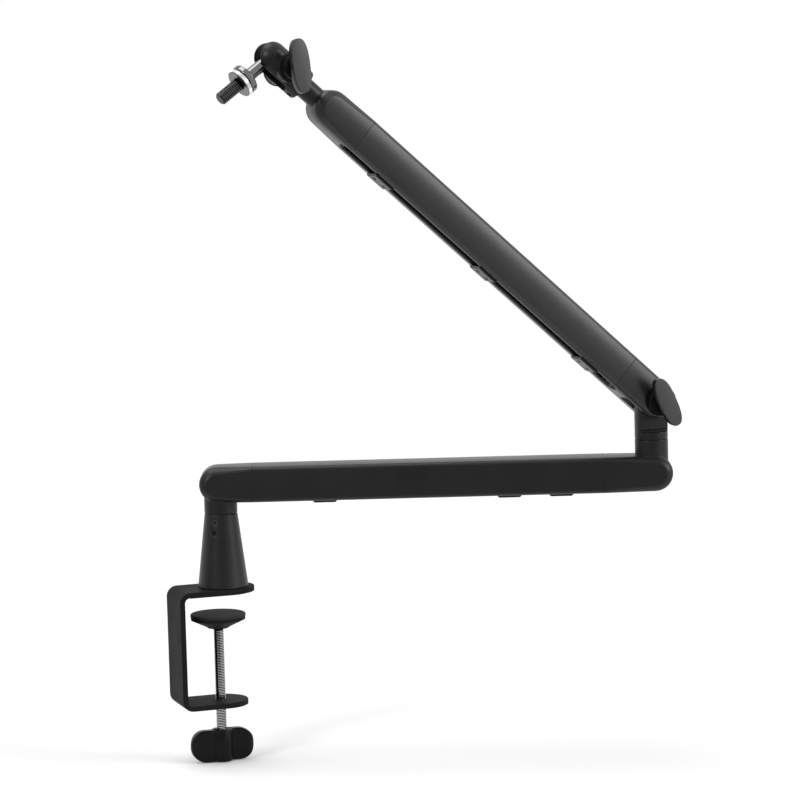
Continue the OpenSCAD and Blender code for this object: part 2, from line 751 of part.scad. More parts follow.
// a split housing: skirt, dome, two round bosses and a slot for the stem
module head_housing() {
  r = housing_d / 2;
  color([0.06, 0.06, 0.065]) head_frame() difference() {
    union() {
      pin_x(r, -housing_l + 0.6, 0);
      translate([-housing_l, 0, 0]) rotate([0, 90, 0]) cylinder(r1 = r - 0.6, r2 = r, h = 0.6);
      sphere(r, $fn = 128);
      translate([-clamp_back, 0, 0]) {
        pin_y(boss_d / 2, -boss_y + 0.6, boss_y - 0.6);
        for (s = [-90, 90]) rotate([s, 0, 0]) translate([0, 0, boss_y - 0.61])
          cylinder(r1 = boss_d / 2, r2 = boss_d / 2 - 0.6, h = 0.6);
      }
    }
    translate([-clamp_back - 4, -jaw_slot, -r - 5]) cube([clamp_back + 4 + 30, 2 * jaw_slot, 2 * r + 10]);
    translate([-clamp_back - 4, 0, 0]) pin_z(jaw_slot, -r - 5, r + 5);
    sphere(ball_d / 2 + run_gap, $fn = 96);
    pin_x(spigot_d / 2 + run_gap, -housing_l - 1, -housing_l + spigot_l + 0.4);
    translate([-clamp_back, 0, 0]) {
      pin_y(head_bolt_d / 2 + run_gap, -30, 30);
      rotate([90, 0, 0]) translate([0, 0, boss_y - 4])
        cylinder(r = (head_bolt_d * 1.6 + 0.2) / sqrt(3), h = 20, $fn = 6);
    }
    translate([grub_x, 0, 0]) pin_z(set_d / 2 + seat_gap / 2, -30, 0);
  }
}

// the grub screw that keeps the head on its spigot
module head_grub_screw() {
  color([0.3, 0.3, 0.31]) head_frame() translate([grub_x, 0, 0]) difference() {
    pin_z(set_d / 2, -housing_d / 2 + 0.8, -spigot_d / 2 + 1 - run_gap);
    translate([0, 0, -housing_d / 2]) cylinder(r = 1.15, h = 2.8, $fn = 6);
  }
}

module head_clamp_nut() {
  color([0.5, 0.5, 0.5]) head_frame() translate([-clamp_back, 0, 0]) rotate([90, 0, 0]) difference() {
    translate([0, 0, boss_y - 3.9]) cylinder(r = head_bolt_d * 1.6 / sqrt(3), h = 3.7, $fn = 6);
    cylinder(r = head_bolt_d / 2 + run_gap, h = 30);
  }
}

module head_knob() {
  color([0.04, 0.04, 0.045]) head_frame() translate([-clamp_back, 0, 0]) rotate([0, -head_paddle, 0])
    paddle(boss_y + pass_gap, head_bolt_d, head_base_d);
}

module head_bolt() {
  color([0.6, 0.6, 0.61]) head_frame() translate([-clamp_back, 0, 0])
    pin_y(head_bolt_d / 2, -boss_y + 0.1, boss_y + pass_gap + paddle_h * 0.6 - 0.1);
}

module ball() {
  color([0.02, 0.02, 0.022]) stem_frame() difference() {
    sphere(ball_d / 2, $fn = 96);
    pin_x(stem_d / 2 - 1.5 + run_gap, ball_d / 2 - 5, 20);
    pin_x(20, ball_d / 2 - 0.9, 20);
  }
}

// the stem and the flange that the stud stands on
module ball_stem() {
  r = stem_d / 2;
  f = flange_d / 2;
  color([0.02, 0.02, 0.022]) stem_frame() difference() {
    union() {
      pin_x(r - 1.5, ball_d / 2 - 4.9, ball_d / 2);
      pin_x(r, ball_d / 2 - 0.8, flange_at);
      translate([flange_at, 0, 0]) rotate([0, 90, 0]) rotate_extrude() polygon([
        [0, -1.6], [r, -1.6], [r + 1.2, 0], [f - 0.8, 0], [f, 0.8], [f, flange_t - 0.6], [f - 0.6, flange_t], [0, flange_t]]);
    }
    pin_x(2.55, flange_at + flange_t - 6, flange_at + flange_t + 1);
  }
}

// the stud: a relief where the thread runs out at the flange, the threaded length and a chamfer
module mic_stud() {
  x0 = flange_at + flange_t;
  r = stud_d / 2;
  color([0.05, 0.05, 0.055]) stem_frame() {
    pin_x(2.5, x0 - 5.9, x0 + 1);
    pin_x(r - relief_deep, x0 + seat_gap / 2, x0 + relief_l + 1);
    pin_x(r, x0 + relief_l, x0 + stud_l - 1.2);
    translate([x0 + stud_l - 1.2, 0, 0]) rotate([0, 90, 0]) cylinder(r1 = r, r2 = r - 1.2, h = 1.2);
  }
}

module lock_ring() {
  x0 = flange_at + flange_t + pass_gap;
  f = flange_d / 2;
  color([0.8, 0.8, 0.8]) stem_frame() translate([x0, 0, 0]) rotate([0, 90, 0]) rotate_extrude($fn = 128) polygon([
    [stud_d / 2 + run_gap, 0], [f - 0.5, 0], [f, 0.5], [f, ring_t - 0.5], [f - 0.5, ring_t], [stud_d / 2 + run_gap, ring_t]]);
}

clamp_bracket();
desk_pad();
riser();
riser_bolts();
riser_set_screws();
pressure_plate();
pressure_rubber();
clamp_screw();
clamp_knob();
screw_clip();
lower_rear_cap();
lower_tube();
lower_front_cap();
base_spindle();
base_washer();
lower_cap_screws();
lower_clip_1();
lower_clip_2();
lower_clip_3();
elbow_yoke();
elbow_spindle();
elbow_washer();
elbow_lock_screw();
upper_rear_cap();
upper_tube();
upper_front_cap();
upper_cap_screws();
hinge_washers();
hinge_nut();
upper_clip_1();
upper_clip_2();
upper_clip_3();
elbow_knob();
hinge_bolt();
head_neck();
head_housing();
head_grub_screw();
head_clamp_nut();
head_knob();
head_bolt();
ball();
ball_stem();
mic_stud();
lock_ring();
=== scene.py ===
"""Looks of a desk boom arm for a microphone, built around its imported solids."""

import json
import math

import bmesh
import bpy
from bpy.props import FloatProperty, FloatVectorProperty, IntProperty, PointerProperty
from mathutils import Matrix, Vector

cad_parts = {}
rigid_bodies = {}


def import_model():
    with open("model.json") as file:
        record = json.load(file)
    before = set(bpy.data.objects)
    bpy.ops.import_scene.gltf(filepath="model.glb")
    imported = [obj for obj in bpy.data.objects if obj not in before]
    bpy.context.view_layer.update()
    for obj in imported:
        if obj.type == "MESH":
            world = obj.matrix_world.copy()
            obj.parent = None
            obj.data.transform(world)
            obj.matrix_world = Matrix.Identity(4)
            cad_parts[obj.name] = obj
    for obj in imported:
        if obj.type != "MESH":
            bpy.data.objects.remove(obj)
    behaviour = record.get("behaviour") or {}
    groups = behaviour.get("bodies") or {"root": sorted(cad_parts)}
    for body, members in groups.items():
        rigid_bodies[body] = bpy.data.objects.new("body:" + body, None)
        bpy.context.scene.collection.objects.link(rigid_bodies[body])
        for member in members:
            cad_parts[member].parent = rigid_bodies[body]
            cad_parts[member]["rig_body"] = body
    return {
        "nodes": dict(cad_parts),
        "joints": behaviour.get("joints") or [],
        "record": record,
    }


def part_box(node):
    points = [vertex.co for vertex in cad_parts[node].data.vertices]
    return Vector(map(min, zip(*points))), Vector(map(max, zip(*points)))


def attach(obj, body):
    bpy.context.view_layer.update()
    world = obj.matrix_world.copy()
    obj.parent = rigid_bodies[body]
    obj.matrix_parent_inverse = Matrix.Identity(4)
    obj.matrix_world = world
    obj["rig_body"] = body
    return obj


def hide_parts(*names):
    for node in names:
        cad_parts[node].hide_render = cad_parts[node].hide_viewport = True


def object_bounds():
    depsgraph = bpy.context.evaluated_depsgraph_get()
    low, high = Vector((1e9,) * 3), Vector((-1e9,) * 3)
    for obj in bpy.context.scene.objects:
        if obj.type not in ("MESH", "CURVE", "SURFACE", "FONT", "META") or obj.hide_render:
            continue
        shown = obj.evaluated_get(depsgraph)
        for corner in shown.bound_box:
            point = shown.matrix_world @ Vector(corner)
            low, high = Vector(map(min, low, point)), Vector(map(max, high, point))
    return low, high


bl_info = {
    "name": "Microphone boom arm",
    "version": (1, 0, 0),
    "blender": (4, 5, 0),
    "location": "View3D > Sidebar > Boom arm",
    "description": "Dresses the packed solids of a microphone boom arm",
    "category": "Object",
}

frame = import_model()
CAD_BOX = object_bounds()
MM = 0.001
JOINTS = {j["name"]: j for j in frame["joints"]}
SLOT_OF = {s["node"]: s["material_slot"] for s in frame["record"]["subparts"]}
UP = Vector((0, 0, 1))

# Level directions from the object: to the camera, and to the dim end of the studio.
TO_CAMERA = Vector((-0.32, -0.947, 0.0))
TO_DIM_END = (-0.69, -0.72, 0.0)

# The camera that a fit to the photo's outlines gave: millimetres, degrees and metres.
SENSOR, LENS = 36.0, 157.5
YAW, PITCH, ROLL = 18.397, -6.630, -1.530
EYE = (-0.6955, -2.5266, 0.4473)

# Each lamp: the way to it, and how wide it looks in degrees.
LAMPS = {"top": ((-0.25, 0.1, 1.0), 40), "left": ((-0.75, -0.5, 0.45), 16),
         "right": ((0.76, -0.58, 0.42), 34)}

# The floor's disc in metres: its radius, how far behind the object's middle its own lies, and its
# gap under the object.
FLOOR_RADIUS, FLOOR_BACK, FLOOR_GAP = 1.0, 0.68, 0.0005

# Shares of a thread's pitch: its flat crest, a flank, its flat root, and its depth.
CREST, FLANK, ROOT, DEPTH = 0.32, 0.2, 0.28, 0.42

# How round the flat walls of each arm are, as a radius in metres.
WALL_RADIUS = {"upper": 0.037, "lower": 0.1}

# Power of the outline round a paddle: 1 is an ellipse, and less is fuller.
FULLNESS = 0.78

# How far below its top the painted light on a paddle's outer face begins, in millimetres.
FACE_LIP = 0.25

# Sides of a turned piece.
SIDES = 96

# Turns a piece made along Z to lie along X.
Z_TO_X = Matrix.Rotation(math.radians(90), 4, "Y")

# The part of a noise texture's range that is spread over the whole height.
NOISE = (0.3, 0.7)

# How much smoother worn edges are, and the painted shade and added roughness of the inside of a
# tube.
WORN_GLOSS, HOLLOW_SHADE_TONE, HOLLOW_DULL = 0.15, 0.0015, 0.4


def axis_of(joint):
    """A joint's axis as a unit vector."""
    return Vector(JOINTS[joint]["axis"]).normalized()


def place_of(joint):
    """The point that a joint turns about, in metres."""
    return Vector(JOINTS[joint]["pos_m"])


def frame_at(origin, along, side):
    """The matrix of a piece's own frame: millimetres, X along it, Y to its side."""
    x = along.normalized()
    y = (side - x * side.dot(x)).normalized()
    z = x.cross(y)
    turn = Matrix((x, y, z)).transposed().to_4x4()
    return Matrix.Translation(origin) @ turn @ Matrix.Scale(MM, 4)


def middle(node):
    """The centre of a solid's box."""
    low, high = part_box(node)
    return (low + high) / 2


def own_frames():
    """The frames that the pieces are built in, read from the joints."""
    arm_mid = place_of("base_swivel")
    arm_mid.z = middle("lower_tube").z
    lower = axis_of("lower_clip_1_slide")
    near = axis_of("elbow_knob_turn")
    upper = axis_of("upper_clip_1_slide")
    ball, swing = place_of("ball_swing"), axis_of("ball_swing")
    screw = Vector((place_of("screw_turn").x, 0, 0))
    across, back = Vector((1, 0, 0)), Vector((0, 1, 0))
    hinge = frame_at(place_of("elbow_tilt"), upper, near)
    return {
        "screw": frame_at(screw, across, back),
        "post": frame_at(screw, UP, back),
        "lower": frame_at(arm_mid, lower, UP.cross(lower)),
        "upper": hinge,
        "upper_knob": hinge,
        "head_knob": frame_at(ball, axis_of("head_swivel"), swing),
        "stem": frame_at(ball, axis_of("stem_spin"), swing),
    }


FRAMES = own_frames()


def reach(node, own, way="x"):
    """How far a solid goes along its own frame, in millimetres: its low and its high end."""
    back = FRAMES[own].inverted()
    spots = [getattr(back @ v.co, way) for v in frame["nodes"][node].data.vertices]
    return min(spots), max(spots)


# How far along Y the painted light on each paddle's outer face begins, in metres.
LIT_FACE_HEIGHTS = {own: (reach(f"{knob}_knob", own, "y")[1] - FACE_LIP) * MM
              for own, knob in (("upper_knob", "elbow"), ("head_knob", "head"))}


# ---------------------------------------------------------------- node trees


class Graph:
    """Adds nodes to a tree, with their inputs given as values or as sockets."""

    def __init__(self, tree):
        self.tree = tree

    def node(self, kind, inputs=None, **settings):
        """A new node."""
        made = self.tree.nodes.new(kind)
        for name, value in settings.items():
            setattr(made, name, value)
        for name, value in (inputs or {}).items():
            self.feed(made.inputs[name], value)
        return made

    def feed(self, socket, value):
        """Links a socket to an input, or sets the input's value."""
        if isinstance(value, bpy.types.NodeSocket):
            self.tree.links.new(value, socket)
        else:
            socket.default_value = value

    def math(self, operation, a, b=0.0, clamp=False):
        """The result of one sum."""
        made = self.node("ShaderNodeMath", {0: a, 1: b}, operation=operation, use_clamp=clamp)
        return made.outputs[0]

    def spread(self, value, low, high, to_low=0.0, to_high=1.0):
        """A value carried from one range to another."""
        made = self.node("ShaderNodeMapRange", {
            "Value": value, "From Min": low, "From Max": high,
            "To Min": to_low, "To Max": to_high})
        return made.outputs["Result"]


def made_once(kind, passed, outputs, sizes):
    """Turns a function that fills a node group into one that makes the group once and returns it.

    passed are the inputs without a value and outputs are the outputs, both by their type of socket.
    sizes are the inputs that have a value.
    """
    def wrap(fill):
        def group():
            name = fill.__name__
            if name in bpy.data.node_groups:
                return bpy.data.node_groups[name]
            tree = bpy.data.node_groups.new(name, kind)
            for label, socket in passed.items():
                tree.interface.new_socket(label, in_out="INPUT", socket_type=socket)
            for label, value in sizes.items():
                socket = "NodeSocketInt" if isinstance(value, int) else "NodeSocketFloat"
                made = tree.interface.new_socket(label, in_out="INPUT", socket_type=socket)
                made.default_value = value
            for label, socket in outputs.items():
                tree.interface.new_socket(label, in_out="OUTPUT", socket_type=socket)
            g = Graph(tree)
            given = g.node("NodeGroupInput").outputs
            fill(g, given, g.node("NodeGroupOutput"))
            return tree
        return group
    return wrap


def effect_group(*outputs, **sizes):
    """A shared effect in a material: takes a Vector and sizes, gives masks, tones or heights."""
    return made_once("ShaderNodeTree", {"Vector": "NodeSocketVector"},
                     dict.fromkeys(outputs, "NodeSocketFloat"), sizes)


def shape_group(**sizes):
    """A repeated shape in Geometry Nodes: takes sizes and a finish, gives its geometry."""
    return made_once("GeometryNodeTree",
                     {"Geometry": "NodeSocketGeometry", "Finish": "NodeSocketMaterial"},
                     {"Geometry": "NodeSocketGeometry"}, sizes)


# ---------------------------------------------------------------- finishes


@effect_group("Height", "Tone", Grain=0.0004, Drift=0.03)
def surface_grain(g, given, out):
    """Fine relief with a slow drift of tone: paint, anodising, moulded plastic."""
    fine = g.node("ShaderNodeTexNoise", {
        "Vector": given["Vector"], "Scale": g.math("DIVIDE", 1.0, given["Grain"]),
        "Detail": 3.0, "Roughness": 0.55})
    slow = g.node("ShaderNodeTexNoise", {
        "Vector": given["Vector"], "Scale": g.math("DIVIDE", 1.0, given["Drift"]),
        "Detail": 2.0, "Roughness": 0.6})
    g.feed(out.inputs["Height"], g.spread(fine.outputs["Fac"], *NOISE))
    fine_share, low, high = 0.35, 0.35, 0.65
    near = g.math("MULTIPLY", g.spread(fine.outputs["Fac"], low, high), fine_share)
    far = g.math("MULTIPLY", g.spread(slow.outputs["Fac"], low, high), 1 - fine_share)
    g.feed(out.inputs["Tone"], g.math("ADD", near, far, clamp=True))


@effect_group("Mask", Width=0.0006, Amount=0.3)
def edge_wear(g, given, out):
    """A broken mask along outer edges, where handling polishes the finish."""
    round_edge = g.node("ShaderNodeBevel", {"Radius": given["Width"]}, samples=4)
    true = g.node("ShaderNodeNewGeometry")
    turned = g.node("ShaderNodeVectorMath", {
        0: round_edge.outputs["Normal"], 1: true.outputs["Normal"]}, operation="DOT_PRODUCT")
    flat, sharp, patches, bare, rubbed = 0.99, 0.86, 260.0, 0.42, 0.62
    edge = g.spread(turned.outputs["Value"], flat, sharp)
    broken = g.node("ShaderNodeTexNoise", {
        "Vector": given["Vector"], "Scale": patches, "Detail": 4.0, "Roughness": 0.7})
    patch = g.spread(broken.outputs["Fac"], bare, rubbed)
    worn = g.math("MULTIPLY", g.math("MULTIPLY", edge, patch), given["Amount"], clamp=True)
    g.feed(out.inputs["Mask"], worn)


@effect_group("Height", Pitch=0.0003)
def drawn_lines(g, given, out):
    """Faint straight lines along X, as extrusion leaves them."""
    stretch = (0.012, 1.0, 1.0)
    stretched = g.node("ShaderNodeMapping", {"Vector": given["Vector"], "Scale": stretch})
    lines = g.node("ShaderNodeTexNoise", {
        "Vector": stretched.outputs["Vector"], "Scale": g.math("DIVIDE", 1.0, given["Pitch"]),
        "Detail": 2.0, "Roughness": 0.5})
    g.feed(out.inputs["Height"], g.spread(lines.outputs["Fac"], *NOISE))


@effect_group("Height", Half=0.0135, Radius=0.13)
def crowned_walls(g, given, out):
    """A height that makes the flat walls of a tube a little round, as drawn walls are."""
    spot = g.node("ShaderNodeSeparateXYZ", {"Vector": given["Vector"]})
    squares = []
    for way in ("Y", "Z"):
        near_edge = g.math("MINIMUM", g.math("ABSOLUTE", spot.outputs[way]), given["Half"])
        squares.append(g.math("MULTIPLY", near_edge, near_edge))
    total = g.math("ADD", squares[0], squares[1])
    drop = g.math("DIVIDE", total, g.math("MULTIPLY", given["Radius"], -2.0))
    g.feed(out.inputs["Height"], drop)


@effect_group("Mask", Height=0.03)
def face_band(g, given, out):
    """A mask of what lies beyond a height along Y, such as a knob's outer face, which the finish
    lightens as painted light.
    """
    spot = g.node("ShaderNodeSeparateXYZ", {"Vector": given["Vector"]})
    above = g.math("SUBTRACT", spot.outputs["Y"], given["Height"])
    start, full = -0.0004, 0.0002
    g.feed(out.inputs["Mask"], g.spread(above, start, full))


@effect_group("Mask", Radius=0.004)
def thread_crest(g, given, out):
    """A mask of what comes near a radius from the X axis, such as a thread's crest; below it the
    finishes paint shade into the roots.
    """
    flat = g.node("ShaderNodeVectorMath", {
        0: given["Vector"], 1: (0, 1, 1)}, operation="MULTIPLY")
    far = g.node("ShaderNodeVectorMath", {0: flat.outputs["Vector"]}, operation="LENGTH")
    past = g.math("SUBTRACT", far.outputs["Value"], given["Radius"])
    start, full = -0.00024, -0.00006
    g.feed(out.inputs["Mask"], g.spread(past, start, full))


@effect_group("Mask", Width=0.015, Height=0.0135)
def deep_inside(g, given, out):
    """A mask of what lies behind the walls of a tube that runs along X, where the finish paints
    shade.
    """
    spot = g.node("ShaderNodeSeparateXYZ", {"Vector": given["Vector"]})
    depths, start, full = [], 0.0011, 0.0016
    for way, limit in (("Y", "Width"), ("Z", "Height")):
        depth = g.math("SUBTRACT", given[limit], g.math("ABSOLUTE", spot.outputs[way]))
        depths.append(g.spread(depth, start, full))
    g.feed(out.inputs["Mask"], g.math("MULTIPLY", depths[0], depths[1]))


def local_place(name):
    """The turn and the shift that carry object coordinates in metres into a piece's own frame."""
    place = FRAMES[name]
    turn = place.to_3x3().normalized().to_4x4()
    back = (Matrix.Translation(place.translation) @ turn).inverted()
    return tuple(back.to_euler()), tuple(back.translation)


def finish(name, dark, light, rough, grain, relief, metallic=0.0, specular=0.5, rough_spread=0.08,
           wear=0.0, worn=None, lines=0.0, own=None, crown=0.0, face=None, crest=None, deep=None):
    """A procedural finish.

    dark and light are the two ends of its tone, and rough is its middle gloss. grain and relief are
    the width and the height of its texture in metres, and lines is the share of drawn lines in it.
    wear polishes the edges to the tone worn. own names the frame that the texture runs along. crown
    is how round its flat walls are, as a radius. face and crest each hold a place and the tone
    beyond it: face paints light onto a paddle's outer face, and below crest the body tone is
    painted shade in a thread's roots. deep holds half the width and height of a tube whose inside
    is painted shade.
    """
    if name in bpy.data.materials:
        return bpy.data.materials[name]
    material = bpy.data.materials.new(name)
    material.use_nodes = True
    material.diffuse_color = (*dark, 1)
    material.node_tree.nodes.clear()
    g = Graph(material.node_tree)
    out = g.node("ShaderNodeOutputMaterial")
    shader = g.node("ShaderNodeBsdfPrincipled", {
        "Metallic": metallic, "Specular IOR Level": specular})
    g.feed(out.inputs["Surface"], shader.outputs["BSDF"])
    where = g.node("ShaderNodeTexCoord").outputs["Object"]
    if own:
        turn, shift = local_place(own)
        where = g.node("ShaderNodeMapping", {
            "Vector": where, "Rotation": turn, "Location": shift}).outputs["Vector"]

    def effect(group, **values):
        """A shared effect laid along the piece's own frame."""
        made = g.node("ShaderNodeGroup", node_tree=group())
        g.feed(made.inputs["Vector"], where)
        for label, value in values.items():
            made.inputs[label].default_value = value
        return made.outputs

    texture = effect(surface_grain, Grain=grain)
    tone, height = texture["Tone"], texture["Height"]
    body = mix_colour(g, tone, dark, light)
    if lines:
        drawn = effect(drawn_lines)["Height"]
        height = g.math("ADD", g.math("MULTIPLY", height, 1 - lines),
                        g.math("MULTIPLY", drawn, lines))
    gloss = g.spread(tone, 0.0, 1.0, rough - rough_spread, rough + rough_spread)
    if wear:
        mask = effect(edge_wear, Amount=wear)["Mask"]
        body = mix_colour(g, mask, body, worn)
        gloss = g.math("SUBTRACT", gloss, g.math("MULTIPLY", mask, WORN_GLOSS))
    # Painted light: a paddle's outer face takes a lighter tone, as its lit side.
    if face:
        body = mix_colour(g, effect(face_band, Height=face[0])["Mask"], body, face[1])
    # Painted shade in a thread's roots: below the crest the body tone stays, and past it the crest
    # tone.
    if crest:
        body = mix_colour(g, effect(thread_crest, Radius=crest[0])["Mask"], body, crest[1])
    # Painted shade: the inside of a tube is darkened and dulled, as shade falls deep in it.
    if deep:
        mask = effect(deep_inside, Width=deep[0], Height=deep[1])["Mask"]
        body = mix_colour(g, mask, body, grey(HOLLOW_SHADE_TONE))
        gloss = g.math("ADD", gloss, g.math("MULTIPLY", mask, HOLLOW_DULL), clamp=True)
    g.feed(shader.inputs["Base Color"], body)
    g.feed(shader.inputs["Roughness"], gloss)
    bump = g.node("ShaderNodeBump", {"Height": height, "Distance": relief, "Strength": 1.0})
    if crown:
        bent = g.node("ShaderNodeBump", {
            "Height": effect(crowned_walls, Radius=crown)["Height"],
            "Distance": 1.0, "Strength": 1.0})
        g.feed(bump.inputs["Normal"], bent.outputs["Normal"])
    g.feed(shader.inputs["Normal"], bump.outputs["Normal"])
    return material


def mix_colour(g, factor, a, b):
    """A colour between a and b, each a socket or three numbers."""
    made = g.node("ShaderNodeMix", data_type="RGBA")
    g.feed(made.inputs[0], factor)
    for socket, value in ((made.inputs[6], a), (made.inputs[7], b)):
        g.feed(socket, value if isinstance(value, bpy.types.NodeSocket) else (*value, 1))
    return made.outputs[2]


def grey(value, blue=0.0):
    """A near-neutral colour."""
    return (value, value, value * (1 + blue))


def finish_for(slot, own=None):
    """The finish of one of the record's material slots.

    own names the frame of the arm, knob or thread that it is on, or else the part of a piece that
    has a finish of its own: a paddle's hub, which is painted shade, the wing knob, the ring's ribs.
    """
    colours = bpy.context.scene.boom_colours
    worn = grey(0.06)
    if slot == "tube_black":
        own = own or "lower"
        # The tube's inside gets painted shade, within this half width and height.
        deep = tuple((high - low) / 2 * MM for low, high in (
            reach(f"{own}_tube", own, "y"), reach(f"{own}_tube", own, "z")))
        return finish(
            f"anodised_{own}", tuple(colours.tube), grey(0.011, 0.05), rough=0.36, grain=0.00022,
            relief=0.0000015, wear=0.12, worn=worn, lines=0.2, rough_spread=0.02, own=own,
            crown=WALL_RADIUS[own], specular=0.55 if own == "upper" else 0.28, deep=deep)
    if slot == "cast_black":
        return finish(
            f"cast_paint_{own or 'plain'}", tuple(colours.cast), grey(0.012, 0.05), rough=0.36,
            grain=0.0003, relief=0.000003, wear=0.12, worn=worn, rough_spread=0.02, own=own,
            crown=WALL_RADIUS.get(own, 0.0), specular=0.5 if own == "upper" else 0.26)
    if slot == "powder_black":
        return finish(
            "powder_coat", tuple(colours.powder), grey(0.012, 0.05), rough=0.62, grain=0.0007,
            relief=0.00002, wear=0.15, worn=grey(0.05), specular=0.06)
    # Painted shade: the hub is a darker, duller copy of the knobs' plastic, for the shade under the
    # paddle.
    if slot == "plastic_black" and own == "hub":
        return finish(
            "moulded_hub", grey(0.0015), grey(0.003), rough=0.5, grain=0.0003, relief=0.000006,
            rough_spread=0.05, specular=0.08)
    if slot == "plastic_black" and own == "wing":
        return finish(
            "moulded_wing", grey(0.003), grey(0.006), rough=0.27, grain=0.0003, relief=0.000003,
            wear=0.1, worn=grey(0.05), rough_spread=0.04, specular=0.12)
    if slot == "plastic_black":
        face = None
        # Painted light: the outer face of a paddle knob is lighter than the rest of it.
        if own in LIT_FACE_HEIGHTS:
            face = (LIT_FACE_HEIGHTS[own], tuple(colours.knob_face))
        return finish(
            f"moulded_nylon_{own or 'plain'}", tuple(colours.plastic), grey(0.009, 0.05),
            rough=0.36, grain=0.0003, relief=0.000006, wear=0.15, worn=worn, rough_spread=0.05,
            specular=0.3, own=own, face=face)
    if slot == "rubber_black":
        return finish(
            "dull_rubber", grey(0.010), grey(0.016), rough=0.75, grain=0.0004, relief=0.00003,
            rough_spread=0.06, specular=0.3)
    # Painted shade: the thread's roots and flanks are near black, and only its crests keep the
    # zinc's own tone.
    if slot == "zinc_screw" and own == "post":
        crest = (reach("clamp_screw", "post", "y")[1] * MM, (0.62, 0.61, 0.59))
        return finish(
            "bright_zinc_thread", (0.010, 0.010, 0.009), (0.018, 0.017, 0.017), metallic=1.0,
            rough=0.16, grain=0.0004, relief=0.000002, rough_spread=0.05, own=own, crest=crest)
    if slot == "zinc_screw":
        return finish(
            "bright_zinc", (0.5, 0.49, 0.47), (0.66, 0.65, 0.62), metallic=1.0, rough=0.22,
            grain=0.0004, relief=0.000003, wear=0.5, worn=grey(0.8), rough_spread=0.06)
    if slot == "plain_steel":
        return finish(
            "turned_steel", grey(0.36), grey(0.5), metallic=1.0, rough=0.34, grain=0.0003,
            relief=0.000004, wear=0.3, worn=grey(0.65), rough_spread=0.08)
    # Painted shade and light: the roots are darker than the plain oxide, and the crests are lighter
    # as a painted highlight along them.
    if slot == "oxide_steel" and own == "stem":
        crest = (reach("mic_stud", "stem", "y")[1] * MM, grey(0.045))
        return finish(
            "black_oxide_thread", grey(0.004), grey(0.007), rough=0.3, grain=0.0003,
            relief=0.000003, rough_spread=0.05, specular=0.4, own=own, crest=crest)
    if slot == "oxide_steel":
        return finish(
            "black_oxide", grey(0.014), grey(0.026), rough=0.34, grain=0.0003, relief=0.000005,
            wear=0.35, worn=grey(0.16), rough_spread=0.1, specular=0.45)
    if slot == "gloss_black":
        return finish(
            "black_chrome", grey(0.15), grey(0.17), metallic=1.0, rough=0.1, grain=0.0008,
            relief=0.0000005, rough_spread=0.02)
    if own == "ribs":
        return finish(
            "bright_nickel", grey(0.78), grey(0.86), metallic=1.0, rough=0.28, grain=0.0003,
            relief=0.000002, rough_spread=0.04)
    return finish(
        "satin_nickel", grey(0.17), grey(0.2), metallic=1.0, rough=0.32, grain=0.0003,
        relief=0.000002, rough_spread=0.05)


# ---------------------------------------------------------------- making pieces


def smooth(mesh, degrees=32):
    """Smooth shading that keeps edges sharper than the angle."""
    mesh.shade_smooth()
    mesh.set_sharp_from_angle(angle=math.radians(degrees))


def show(name, mesh, body, material, stands_for=()):
    """Links a mesh as a piece that rides on a body, in place of the solids that it stands for."""
    piece = bpy.data.objects.new(name, mesh)
    bpy.context.scene.collection.objects.link(piece)
    mesh.materials.clear()
    mesh.materials.append(material)
    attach(piece, body)
    if stands_for:
        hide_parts(*stands_for)


def baked(piece):
    """Turns a piece's modifiers into its plain mesh."""
    seen = piece.evaluated_get(bpy.context.evaluated_depsgraph_get())
    mesh = bpy.data.meshes.new_from_object(seen)
    bpy.data.objects.remove(piece)
    return mesh


def loose(name, mesh):
    """A linked object for modifiers to work on."""
    piece = bpy.data.objects.new(name, mesh)
    bpy.context.scene.collection.objects.link(piece)
    return piece


def eased_copy(node, width, segments=2, crease=40):
    """A copy of a solid's mesh with eased edges. Edges over the crease angle stay crisp."""
    weld, flat_angle, eased_angle, weight = 2e-6, 0.6, 34, 80
    mesh = frame["nodes"][node].data.copy()
    bm = bmesh.new()
    bm.from_mesh(mesh)
    bmesh.ops.remove_doubles(bm, verts=bm.verts, dist=weld)
    bmesh.ops.dissolve_limit(
        bm, angle_limit=math.radians(flat_angle), verts=bm.verts, edges=bm.edges)
    bm.to_mesh(mesh)
    bm.free()
    piece = loose(node + "_work", mesh)
    if width:
        bevel = piece.modifiers.new("ease", "BEVEL")
        bevel.width, bevel.segments = width * MM, segments
        bevel.limit_method, bevel.angle_limit = "ANGLE", math.radians(eased_angle)
        bevel.use_clamp_overlap = False
        bevel.miter_outer = "MITER_ARC"
    mesh = baked(piece)
    smooth(mesh, crease)
    piece = loose(node + "_work", mesh)
    even = piece.modifiers.new("even", "WEIGHTED_NORMAL")
    even.keep_sharp, even.weight = True, weight
    return baked(piece)


def dress(node, width, segments=2, own=None, crease=40):
    """Shows an eased copy in place of a solid."""
    slot = SLOT_OF[node]
    mesh = eased_copy(node, width, segments, crease)
    show(node + "_skin", mesh, frame["nodes"][node]["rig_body"], finish_for(slot, own), [node])


def mesh_from(name, points, faces, place):
    """A mesh with its faces turned out, from points in millimetres in a piece's own frame."""
    bm = bmesh.new()
    made = [bm.verts.new(place @ Vector(p)) for p in points]
    for face in faces:
        bm.faces.new([made[i] for i in face])
    bmesh.ops.remove_doubles(bm, verts=bm.verts, dist=1e-7)
    bmesh.ops.recalc_face_normals(bm, faces=bm.faces)
    mesh = bpy.data.meshes.new(name)
    bm.to_mesh(mesh)
    bm.free()
    return mesh


